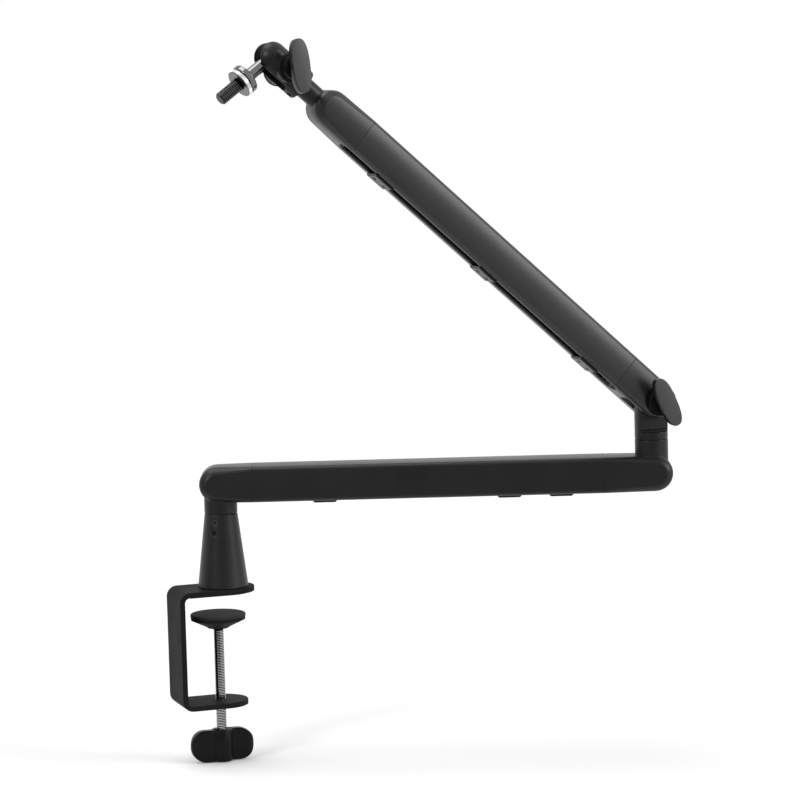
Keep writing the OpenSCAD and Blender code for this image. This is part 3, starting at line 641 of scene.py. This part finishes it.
def stacked(rings):
    """Points and faces of a closed shell through rings that hold equal numbers of points."""
    count = len(rings[0])
    points = [p for ring in rings for p in ring]
    faces = []
    for k in range(len(rings) - 1):
        for i in range(count):
            j = (i + 1) % count
            low, high = k * count, (k + 1) * count
            faces.append((low + i, low + j, high + j, high + i))
    faces.append(tuple(reversed(range(count))))
    last = (len(rings) - 1) * count
    faces.append(tuple(range(last, last + count)))
    return points, faces


def lathe(name, profile, place, count=SIDES, axis="Z"):
    """A turned piece. profile is (radius, height) pairs from its low end to its high end."""
    rings = []
    for radius, height in profile:
        ring = []
        for i in range(count):
            a = 2 * math.pi * i / count
            c, s = radius * math.cos(a), radius * math.sin(a)
            ring.append({"Z": (c, s, height), "X": (height, c, s), "Y": (s, height, c)}[axis])
        rings.append(ring)
    return mesh_from(name, *stacked(rings), place)


# ---------------------------------------------------------------- repeats


@shape_group(Radius=0.004, Pitch=0.00125, Length=0.02, Chamfer=0.001, Sides=48)
def threaded_rod(g, given, out):
    """A threaded rod along Z: four lines a turn follow the crest and the root."""
    turns = g.math("ADD", g.math("CEIL", g.math("DIVIDE", given["Length"], given["Pitch"])), 2.0)
    lines_a_turn = 4.0
    rows = g.math("MULTIPLY", turns, lines_a_turn)
    grid = g.node("GeometryNodeMeshGrid", {
        "Size X": 1.0, "Size Y": 1.0, "Vertices X": g.math("ADD", given["Sides"], 1.0),
        "Vertices Y": g.math("ADD", rows, 1.0)})
    spot = g.node("ShaderNodeSeparateXYZ", {
        "Vector": g.node("GeometryNodeInputPosition").outputs[0]})
    round_share = g.math("ADD", spot.outputs["X"], 0.5)
    angle = g.math("MULTIPLY", round_share, 2 * math.pi)
    row = g.math("ROUND", g.math("MULTIPLY", g.math("ADD", spot.outputs["Y"], 0.5), rows))
    line = g.math("MODULO", row, lines_a_turn)
    deep = g.math("GREATER_THAN", line, 1.5)
    last = g.math("GREATER_THAN", line, 2.5)
    phase = g.math("ADD", g.math("MULTIPLY", g.math("MINIMUM", line, 1.0), CREST),
                   g.math("MULTIPLY", deep, FLANK))
    phase = g.math("ADD", phase, g.math("MULTIPLY", last, ROOT))
    turn = g.math("FLOOR", g.math("DIVIDE", row, lines_a_turn))
    steps = g.math("ADD", g.math("ADD", turn, phase), g.math("SUBTRACT", round_share, 1.0))
    height = g.math("MULTIPLY", steps, given["Pitch"])
    height = g.math("MINIMUM", g.math("MAXIMUM", height, 0.0), given["Length"])
    edge = g.math("MINIMUM", height, g.math("SUBTRACT", given["Length"], height))
    thread = g.math("SUBTRACT", given["Radius"],
                    g.math("MULTIPLY", deep, g.math("MULTIPLY", given["Pitch"], DEPTH)))
    end_radius = g.math("SUBTRACT", given["Radius"], given["Chamfer"])
    radius = g.math("MINIMUM", thread, g.math("ADD", end_radius, edge))
    place = g.node("ShaderNodeCombineXYZ", {
        "X": g.math("MULTIPLY", radius, g.math("COSINE", angle)),
        "Y": g.math("MULTIPLY", radius, g.math("SINE", angle)), "Z": height})
    wound = g.node("GeometryNodeSetPosition", {
        "Geometry": grid.outputs["Mesh"], "Position": place.outputs["Vector"]})
    ends = []
    for z in (0.0, given["Length"]):
        disc = g.node("GeometryNodeMeshCircle", {"Vertices": given["Sides"], "Radius": end_radius},
                      fill_type="NGON")
        lift = g.node("ShaderNodeCombineXYZ", {"Z": z})
        moved = g.node("GeometryNodeTransform", {
            "Geometry": disc.outputs["Mesh"], "Translation": lift.outputs["Vector"]})
        ends.append(moved.outputs["Geometry"])
    turned = g.node("GeometryNodeFlipFaces", {"Mesh": ends[0]})
    joined = g.node("GeometryNodeJoinGeometry")
    for part in (wound.outputs["Geometry"], turned.outputs["Mesh"], ends[1]):
        g.feed(joined.inputs["Geometry"], part)
    welded = g.node("GeometryNodeMergeByDistance", {
        "Geometry": joined.outputs["Geometry"], "Distance": 2e-6})
    close_tree(g, welded.outputs["Geometry"], given["Finish"], out)


def close_tree(g, geometry, material, out):
    """The last two nodes of every tree."""
    real = g.node("GeometryNodeRealizeInstances", {"Geometry": geometry})
    painted = g.node("GeometryNodeSetMaterial", {
        "Geometry": real.outputs["Geometry"], "Material": material})
    g.feed(out.inputs["Geometry"], painted.outputs["Geometry"])


@shape_group(Radius=0.0097, Height=0.0025, Middle=0.00175, Rib=0.0004, Count=72)
def straight_knurl(g, given, out):
    """Straight ribs in a circle about Z."""
    circle = g.node("GeometryNodeMeshCircle", {
        "Vertices": given["Count"], "Radius": given["Radius"]})
    points = g.node("GeometryNodeMeshToPoints", {"Mesh": circle.outputs["Mesh"]})
    rib = g.node("GeometryNodeMeshCylinder", {
        "Vertices": 4, "Radius": given["Rib"], "Depth": given["Height"]})
    index = g.node("GeometryNodeInputIndex").outputs[0]
    angle = g.math("MULTIPLY", g.math("DIVIDE", index, given["Count"]), 2 * math.pi)
    turn = g.node("ShaderNodeCombineXYZ", {"Z": angle})
    laid = g.node("GeometryNodeInstanceOnPoints", {
        "Points": points.outputs["Points"], "Instance": rib.outputs["Mesh"],
        "Rotation": turn.outputs["Vector"]})
    lift = g.node("ShaderNodeCombineXYZ", {"Z": given["Middle"]})
    raised = g.node("GeometryNodeTransform", {
        "Geometry": laid.outputs["Instances"], "Translation": lift.outputs["Vector"]})
    close_tree(g, raised.outputs["Geometry"], given["Finish"], out)


def grow(name, tree, values):
    """Runs a tree and returns its plain mesh. values are by socket name."""
    piece = loose(name + "_work", bpy.data.meshes.new(name))
    grown = piece.modifiers.new("grow", "NODES")
    grown.node_group = tree
    names = {s.name: s.identifier for s in tree.interface.items_tree if s.in_out == "INPUT"}
    for label, value in values.items():
        grown[names[label]] = value
    mesh = baked(piece)
    mesh.name = name
    return mesh


def moved(mesh, place):
    """Puts a mesh made in metres along Z into a frame given in millimetres."""
    mesh.transform(place @ Matrix.Scale(1 / MM, 4))


# ---------------------------------------------------------------- settings


class BoomSizes(bpy.types.PropertyGroup):
    """Sizes of what the solids leave plain, in metres."""

    screw_pitch: FloatProperty(
        name="Screw pitch", description="Pitch of the clamp screw's thread", default=0.00125,
        unit="LENGTH")
    stud_pitch: FloatProperty(
        name="Stud pitch", description="Pitch of the stud's thread, 16 to the inch",
        default=0.0015875, unit="LENGTH")
    ring_ribs: IntProperty(
        name="Ring ribs", description="Ribs round the lock ring", default=72, min=24, max=120)
    tube_ease: FloatProperty(
        name="Cut edge", description="Ease along the edges of tubes and caps", default=0.0002,
        unit="LENGTH")
    metal_ease: FloatProperty(
        name="Metal edge", description="Ease along the clamp, the riser and the yoke",
        default=0.0004, unit="LENGTH")


class BoomColours(bpy.types.PropertyGroup):
    """The dark end of each black finish, and the painted light on the paddles' outer faces."""

    tube: FloatVectorProperty(
        name="Tubes", description="Anodised extrusions", subtype="COLOR",
        default=grey(0.007, 0.06), min=0, max=1)
    cast: FloatVectorProperty(
        name="Castings", description="Painted caps, riser and head", subtype="COLOR",
        default=grey(0.008, 0.05), min=0, max=1)
    powder: FloatVectorProperty(
        name="Clamp", description="Powder coat on the bent steel", subtype="COLOR",
        default=grey(0.008, 0.04), min=0, max=1)
    plastic: FloatVectorProperty(
        name="Knobs", description="Moulded knobs and clips", subtype="COLOR",
        default=grey(0.004, 0.04), min=0, max=1)
    # Painted light on the outer faces of the paddles.
    knob_face: FloatVectorProperty(
        name="Knob faces", description="Outer faces of the paddle knobs", subtype="COLOR",
        default=grey(0.055, 0.02), min=0, max=1)


class BoomStage(bpy.types.PropertyGroup):
    """Light and floor."""

    top_power: FloatProperty(
        name="Top light", description="Strength of the light above", default=1.3, min=0, max=10)
    left_power: FloatProperty(
        name="Left light", description="Strength of the light at the front left", default=1.0,
        min=0, max=10)
    right_power: FloatProperty(
        name="Right light", description="Strength of the light at the front right", default=1.5,
        min=0, max=10)
    world: FloatProperty(
        name="World", description="Light from all round", default=0.45, min=0, max=2)
    front: FloatProperty(
        name="Dim end", description="How bright the studio's dim end is in reflections",
        default=0.06, min=0, max=1)
    floor: FloatVectorProperty(
        name="Floor", description="Colour of the pale floor", subtype="COLOR",
        default=(0.82, 0.82, 0.82), min=0, max=1)
    floor_lift: FloatProperty(
        name="Floor lift", description="What the floor adds to show as white", default=0.12,
        min=0, max=1)


# ---------------------------------------------------------------- operators


class BOOM_OT_stage(bpy.types.Operator):
    """Floor, lamps, world and camera"""

    bl_idname = "boom.stage"
    bl_label = "Stage"

    def execute(self, context):
        scene = context.scene
        stage = scene.boom_stage
        scene.view_settings.view_transform = "Standard"
        self.camera(scene)
        self.world(scene, stage)
        self.floor(stage)
        for side, (towards, width) in LAMPS.items():
            power = getattr(stage, f"{side}_power")
            self.lamp(f"{side}_light", Vector(towards), width, power)
        return {"FINISHED"}

    def camera(self, scene):
        """The camera, turned by its yaw, its pitch and its roll."""
        data = bpy.data.cameras.new("photo_camera")
        data.sensor_width, data.lens = SENSOR, LENS
        data.clip_start, data.clip_end = 0.05, 200.0
        eye = bpy.data.objects.new("photo_camera", data)
        scene.collection.objects.link(eye)
        yaw, pitch, roll = math.radians(YAW), math.radians(PITCH), math.radians(ROLL)
        ahead = Vector((math.sin(yaw) * math.cos(pitch), math.cos(yaw) * math.cos(pitch),
                        math.sin(pitch)))
        level = Vector((math.cos(yaw), -math.sin(yaw), 0))
        over = level.cross(ahead)
        right = math.cos(roll) * level + math.sin(roll) * over
        up = -math.sin(roll) * level + math.cos(roll) * over
        turn = Matrix((right, up, -ahead)).transposed().to_4x4()
        eye.matrix_world = Matrix.Translation(EYE) @ turn
        scene.camera = eye

    def world(self, scene, stage):
        """White to the camera and through glass, plain light, and reflections with one dim end."""
        world = bpy.data.worlds.new("studio")
        world.use_nodes = True
        scene.world = world
        world.node_tree.nodes.clear()
        g = Graph(world.node_tree)
        rays = g.node("ShaderNodeLightPath").outputs
        way = g.node("ShaderNodeTexCoord").outputs["Generated"]
        ahead = g.node("ShaderNodeVectorMath", {
            0: way, 1: TO_DIM_END}, operation="DOT_PRODUCT").outputs["Value"]
        height = g.node("ShaderNodeSeparateXYZ", {"Vector": way}).outputs["Z"]
        # The dim end fades in between two cosines to its middle, and out between two heights.
        dim = g.math("MULTIPLY", g.spread(ahead, 0.4, 0.75), g.spread(height, 0.7, 0.35))
        mirrored = g.spread(dim, 0.0, 1.0, 1.0, stage.front)
        plain = g.math("MAXIMUM", rays["Is Camera Ray"], rays["Is Transmission Ray"])
        strength = g.spread(plain, 0.0, 1.0, stage.world, 1.0)
        strength = g.math("MAXIMUM", strength, g.math("MULTIPLY", rays["Is Glossy Ray"], mirrored))
        sky = g.node("ShaderNodeBackground", {"Color": (1, 1, 1, 1), "Strength": strength})
        out = g.node("ShaderNodeOutputWorld")
        g.feed(out.inputs["Surface"], sky.outputs["Background"])

    def floor(self, stage):
        """A pale disc under the object, set back from the camera."""
        centre = (CAD_BOX[0] + CAD_BOX[1]) / 2 - TO_CAMERA * FLOOR_BACK
        rim = []
        for i in range(SIDES):
            a = 2 * math.pi * i / SIDES
            rim.append((centre.x + FLOOR_RADIUS * math.cos(a),
                        centre.y + FLOOR_RADIUS * math.sin(a), CAD_BOX[0].z - FLOOR_GAP))
        mesh = bpy.data.meshes.new("floor")
        mesh.from_pydata(rim, [], [tuple(range(SIDES))])
        plane = bpy.data.objects.new("floor", mesh)
        bpy.context.scene.collection.objects.link(plane)
        material = bpy.data.materials.new("pale_floor")
        material.use_nodes = True
        material.node_tree.nodes.clear()
        g = Graph(material.node_tree)
        matt = g.node("ShaderNodeBsdfDiffuse", {"Color": (*stage.floor, 1)})
        rays = g.node("ShaderNodeLightPath").outputs
        seen = g.math("MAXIMUM", rays["Is Camera Ray"], rays["Is Glossy Ray"])
        glow = g.node("ShaderNodeEmission", {
            "Color": (1, 1, 1, 1), "Strength": g.math("MULTIPLY", seen, stage.floor_lift)})
        both = g.node("ShaderNodeAddShader")
        g.feed(both.inputs[0], matt.outputs["BSDF"])
        g.feed(both.inputs[1], glow.outputs["Emission"])
        out = g.node("ShaderNodeOutputMaterial")
        g.feed(out.inputs["Surface"], both.outputs["Shader"])
        mesh.materials.append(material)

    def lamp(self, name, towards, width, power):
        """A soft distant lamp."""
        data = bpy.data.lights.new(name, "SUN")
        data.angle, data.energy = math.radians(width), power
        lamp = bpy.data.objects.new(name, data)
        bpy.context.scene.collection.objects.link(lamp)
        lamp.matrix_world = towards.to_track_quat("Z", "Y").to_matrix().to_4x4()


class BOOM_OT_inner(bpy.types.Operator):
    """Finishes for every solid that keeps its own mesh"""

    bl_idname = "boom.inner"
    bl_label = "Inner pieces"

    def execute(self, context):
        for node, piece in frame["nodes"].items():
            piece.data.materials.clear()
            own = node.split("_")[0] if node.endswith(("_tube", "_cap")) else None
            piece.data.materials.append(finish_for(SLOT_OF[node], own))
        return {"FINISHED"}


class BOOM_OT_clamp(bpy.types.Operator):
    """Bent steel clamp, riser and its screws"""

    bl_idname = "boom.clamp"
    bl_label = "Desk clamp"

    def execute(self, context):
        ease = context.scene.boom_sizes.metal_ease / MM
        dress("clamp_bracket", ease + 0.1, 3)
        dress("desk_pad", 0.3)
        dress("riser", ease * 0.6)
        dress("riser_set_screws", 0.12)
        dress("riser_bolts", 0.12)
        dress("pressure_plate", 0.3)
        dress("pressure_rubber", 0.3)
        self.wing_knob()
        return {"FINISHED"}

    def wing_knob(self):
        """Two wings that make a shallow S, lofted as one form, and the hub round the screw."""
        thick, bow, corner, hub_r, edge, lip = 4.0, 1.5, 11.5, 8.2, 1.5, 0.35
        slices, corner_steps, shy = 96, 8, 0.9995
        back = FRAMES["screw"].inverted()
        spots = [back @ v.co for v in frame["nodes"]["clamp_knob"].data.vertices]
        tip = max(spots, key=lambda v: math.hypot(v.x, v.y))
        length = math.hypot(tip.x, tip.y)
        low, high = reach("clamp_knob", "screw", "z")
        half, chord = (high - low) / 2, length - thick
        turn = Matrix.Rotation(math.atan(tip.y / tip.x), 4, "Z")
        place = FRAMES["screw"] @ Matrix.Translation((0, 0, (low + high) / 2)) @ turn
        rings = []
        for k in range(slices + 1):
            x = -length * shy * math.cos(math.pi * k / slices)
            inside = min(abs(x), chord)
            bend = math.copysign(bow * (1 - math.cos(2 * math.pi * inside / chord)) / 2, x)
            side = math.sqrt(max(thick ** 2 - max(abs(x) - chord, 0) ** 2, 0.0))
            past = max(abs(x) - (length - corner), 0)
            tall = half - corner + math.sqrt(max(corner ** 2 - past ** 2, 0.0))
            e = min(edge, side * 0.8, tall * 0.8)
            ring = []
            for sy, sz, start in ((1, 1, 0), (-1, 1, 90), (-1, -1, 180), (1, -1, 270)):
                for m in range(corner_steps + 1):
                    a = math.radians(start + 90 * m / corner_steps)
                    ring.append((x, bend + sy * (side - e) + e * math.cos(a),
                                 sz * (tall - e) + e * math.sin(a)))
            rings.append(ring)
        wings = mesh_from("clamp_knob_wings", *stacked(rings), place)
        smooth(wings, 60)
        slot = SLOT_OF["clamp_knob"]
        black = finish_for(slot, "wing")
        show("clamp_knob_wings", wings, "clamp_screw", black, ["clamp_knob"])
        rim = [(hub_r - 1.2, half), (hub_r - lip, half - lip), (hub_r, half - 1.2)]
        hub = lathe("clamp_knob_hub", [(radius, -z) for radius, z in rim] + rim[::-1], place)
        smooth(hub, 50)
        show("clamp_knob_hub", hub, "clamp_screw", black)


class BOOM_OT_threads(bpy.types.Operator):
    """Threads of the clamp screw and the stud, and the lock ring's knurl"""

    bl_idname = "boom.threads"
    bl_label = "Threads"

    def execute(self, context):
        sizes = context.scene.boom_sizes
        self.clamp_screw(sizes)
        self.stud(sizes)
        self.ring(sizes)
        return {"FINISHED"}

    def clamp_screw(self, sizes):
        """The threaded rod, and the plain pin that holds the pressure plate."""
        gap, chamfer, pin_r, pin_l, sunk = 0.0003, 0.0009, 3.0, 7.0, 0.4
        low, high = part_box("clamp_screw")
        plate_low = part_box("pressure_plate")[0].z
        steel = finish_for("zinc_screw", "post")
        rod = grow("clamp_thread", threaded_rod(), {
            "Radius": (high.x - low.x) / 2, "Pitch": sizes.screw_pitch,
            "Length": plate_low - gap - low.z, "Chamfer": chamfer, "Sides": 48, "Finish": steel})
        rod.transform(Matrix.Translation(((low.x + high.x) / 2, (low.y + high.y) / 2, low.z)))
        smooth(rod, 30)
        show("clamp_screw_thread", rod, "clamp_screw", steel, ["clamp_screw"])
        pin = lathe("clamp_screw_pin",
                    [(pin_r - 0.1, 0), (pin_r, 0.1), (pin_r, pin_l - 0.1), (pin_r, pin_l)],
                    FRAMES["screw"] @ Matrix.Translation((0, 0, plate_low / MM - sunk)))
        smooth(pin)
        show("clamp_screw_tip", pin, "clamp_screw", steel)

    def stud(self, sizes):
        """The stud's thread outside the ring, and its plain neck inside the ring."""
        gap, chamfer, thinner, overlap = 0.2, 0.0011, 1.2, 0.4
        oxide = finish_for("oxide_steel", "stem")
        base, start = reach("ball_stem", "stem")[1], reach("lock_ring", "stem")[1] + gap
        end, radius = reach("mic_stud", "stem")[1], reach("mic_stud", "stem", "y")[1]
        rod = grow("stud_thread", threaded_rod(), {
            "Radius": radius * MM, "Pitch": sizes.stud_pitch, "Length": (end - start) * MM,
            "Chamfer": chamfer, "Sides": 64, "Finish": oxide})
        moved(rod, FRAMES["stem"] @ Matrix.Translation((start, 0, 0)) @ Z_TO_X)
        smooth(rod, 30)
        show("mic_stud_thread", rod, "stem", oxide, ["mic_stud"])
        inner = radius - thinner
        neck = lathe("stud_neck", [(inner, base + 0.05), (inner, start + overlap)],
                     FRAMES["stem"], 64, "X")
        smooth(neck)
        show("mic_stud_neck", neck, "stem", oxide)

    def ring(self, sizes):
        """The lock ring, and the ribs of its knurl."""
        rib, sunk, clear, plain_rim = 0.36, 0.01, 0.06, 0.45
        nickel, bright = finish_for("nickel_ring"), finish_for("nickel_ring", "ribs")
        low, high = reach("lock_ring", "stem")
        t = high - low
        r = reach("lock_ring", "stem", "y")[1] - rib + sunk
        bore = reach("mic_stud", "stem", "y")[1] + clear
        place = FRAMES["stem"] @ Matrix.Translation((low, 0, 0)) @ Z_TO_X
        plain = tube_lathe("lock_ring_body", ring_profile(bore, r, t), place)
        smooth(plain, 30)
        show("lock_ring_plain", plain, "lock_ring", nickel, ["lock_ring"])
        ribs = grow("lock_ring_ribs", straight_knurl(), {
            "Radius": r * MM, "Height": (t - 2 * plain_rim) * MM, "Middle": t / 2 * MM,
            "Rib": rib * MM, "Count": sizes.ring_ribs, "Finish": bright})
        moved(ribs, place)
        smooth(ribs, 30)
        show("lock_ring_ribs", ribs, "lock_ring", bright)


def ring_profile(bore, r, t):
    """A ring's section, with its corners cut, as a closed loop of (radius, height)."""
    cut = 0.5
    return [(bore + cut, 0), (r - cut, 0), (r, cut), (r, t - cut), (r - cut, t), (bore + cut, t),
            (bore, t - cut), (bore, cut)]


def tube_lathe(name, loop, place):
    """A turned ring from a closed section."""
    points, faces = [], []
    for i in range(SIDES):
        a = 2 * math.pi * i / SIDES
        points += [(r * math.cos(a), r * math.sin(a), z) for r, z in loop]
    n = len(loop)
    for i in range(SIDES):
        j = (i + 1) % SIDES
        for k in range(n):
            m = (k + 1) % n
            faces.append((i * n + k, j * n + k, j * n + m, i * n + m))
    return mesh_from(name, points, faces, place)


class BOOM_OT_arms(bpy.types.Operator):
    """Tubes, caps and washers of both arms"""

    bl_idname = "boom.arms"
    bl_label = "Arms"

    def execute(self, context):
        sizes = context.scene.boom_sizes
        cut, ease = sizes.tube_ease / MM, sizes.metal_ease / MM
        for arm in ("lower", "upper"):
            for node in ("tube", "rear_cap", "front_cap"):
                dress(f"{arm}_{node}", cut, 2, own=arm, crease=12)
        dress("elbow_yoke", ease)
        for node in ("base_washer", "elbow_washer", "elbow_lock_screw", "hinge_washers",
                     "hinge_nut"):
            dress(node, 0.1)
        return {"FINISHED"}


class BOOM_OT_clips(bpy.types.Operator):
    """Cable clips"""

    bl_idname = "boom.clips"
    bl_label = "Cable clips"

    def execute(self, context):
        for arm in ("lower", "upper"):
            for k in (1, 2, 3):
                dress(f"{arm}_clip_{k}", 0.25)
        return {"FINISHED"}


class BOOM_OT_head(bpy.types.Operator):
    """Neck, split housing, ball, stem and flange"""

    bl_idname = "boom.head"
    bl_label = "Ball head"

    def execute(self, context):
        dress("head_neck", 0.3)
        dress("head_housing", 0.45, 3)
        dress("head_grub_screw", 0.1)
        dress("head_clamp_nut", 0.15)
        dress("ball", 0.1)
        dress("ball_stem", 0.3, 3)
        return {"FINISHED"}


class BOOM_OT_knobs(bpy.types.Operator):
    """Paddle knobs: a round hub under an elliptical paddle"""

    bl_idname = "boom.knobs"
    bl_label = "Paddle knobs"

    def execute(self, context):
        for knob, own in (("elbow_knob", "upper_knob"), ("head_knob", "head_knob")):
            self.paddle(knob, own)
        return {"FINISHED"}

    def paddle(self, knob, own):
        """One knob, with its long way, length and widths read from its solid."""
        centre = FRAMES[own].inverted() @ place_of(knob + "_turn")
        centre.y = 0
        place = FRAMES[own] @ Matrix.Translation(centre)
        back = place.inverted()
        spots = [back @ v.co for v in frame["nodes"][knob].data.vertices]
        low, high = reach(knob, own, "y")
        tip = max(spots, key=lambda p: math.hypot(p.x, p.z))
        long_way = Vector((tip.x, tip.z)).normalized()
        length = math.hypot(tip.x, tip.z)
        width = max(abs(p.x * long_way.y - p.z * long_way.x) for p in spots if p.y > high - 2)
        base = max(math.hypot(p.x, p.z) for p in spots if p.y < low + 0.3)
        h = high - low
        # Each ring of the outline: its height, half its length and half its width.
        outline = [
            (0.2 * h, base - 2, 0.62 * width), (0.36 * h, base - 0.8, 0.63 * width),
            (0.46 * h, length - 3.5, 0.74 * width), (0.53 * h, length - 1.0, 0.86 * width),
            (0.6 * h, length - 0.1, 0.93 * width), (0.75 * h, length, 0.98 * width),
            (0.88 * h, length, width), (h - 0.9, length, width),
            (h - 0.45, length - 0.12, width - 0.12), (h - 0.12, length - 0.42, width - 0.42),
            (h, length - 0.9, width - 0.9)]
        rings = []
        for up, along, across in outline:
            ring = []
            for i in range(SIDES):
                c, q = math.cos(2 * math.pi * i / SIDES), math.sin(2 * math.pi * i / SIDES)
                u = along * math.copysign(abs(c) ** FULLNESS, c)
                v = across * math.copysign(abs(q) ** FULLNESS, q)
                ring.append((u * long_way.x - v * long_way.y, low + up,
                             u * long_way.y + v * long_way.x))
            rings.append(ring)
        slot, body = SLOT_OF[knob], frame["nodes"][knob]["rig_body"]
        mesh = mesh_from(knob + "_paddle", *stacked(rings), place)
        smooth(mesh, 50)
        # Its finish paints light onto the paddle's outer face.
        show(knob + "_paddle", mesh, body, finish_for(slot, own), [knob])
        hub = lathe(knob + "_hub", [
            (base - 0.25, low), (base, low + 0.25), (base, low + 0.38 * h),
            (base - 0.4, low + 0.43 * h), (base - 1.4, low + 0.47 * h)], place, axis="Y")
        smooth(hub, 40)
        # The hub's finish is painted shade.
        show(knob + "_hub", hub, body, finish_for(slot, "hub"))


STEPS = (BOOM_OT_stage, BOOM_OT_inner, BOOM_OT_clamp, BOOM_OT_threads, BOOM_OT_arms, BOOM_OT_clips,
         BOOM_OT_head, BOOM_OT_knobs)


class BOOM_PT_panel(bpy.types.Panel):
    """The settings and the steps, in the order that they run"""

    bl_label = "Boom arm"
    bl_idname = "BOOM_PT_panel"
    bl_space_type = "VIEW_3D"
    bl_region_type = "UI"
    bl_category = "Boom arm"

    def draw(self, context):
        for name in GROUPS:
            group, box = getattr(context.scene, name), self.layout.box()
            for setting in group.__annotations__:
                box.prop(group, setting)
        for step in STEPS:
            self.layout.operator(step.bl_idname)


GROUPS = {"boom_sizes": BoomSizes, "boom_colours": BoomColours, "boom_stage": BoomStage}


def register():
    """Adds the settings, the steps and the panel."""
    for group in GROUPS.values():
        bpy.utils.register_class(group)
    for name, group in GROUPS.items():
        setattr(bpy.types.Scene, name, PointerProperty(type=group))
    for made in (*STEPS, BOOM_PT_panel):
        bpy.utils.register_class(made)


def unregister():
    """Takes them out again."""
    for made in reversed((*STEPS, BOOM_PT_panel)):
        bpy.utils.unregister_class(made)
    for name in GROUPS:
        delattr(bpy.types.Scene, name)
    for group in reversed(list(GROUPS.values())):
        bpy.utils.unregister_class(group)


def main():
    """Builds everything."""
    register()
    for step in STEPS:
        family, name = step.bl_idname.split(".")
        getattr(getattr(bpy.ops, family), name)()


if __name__ == "__main__":
    main()
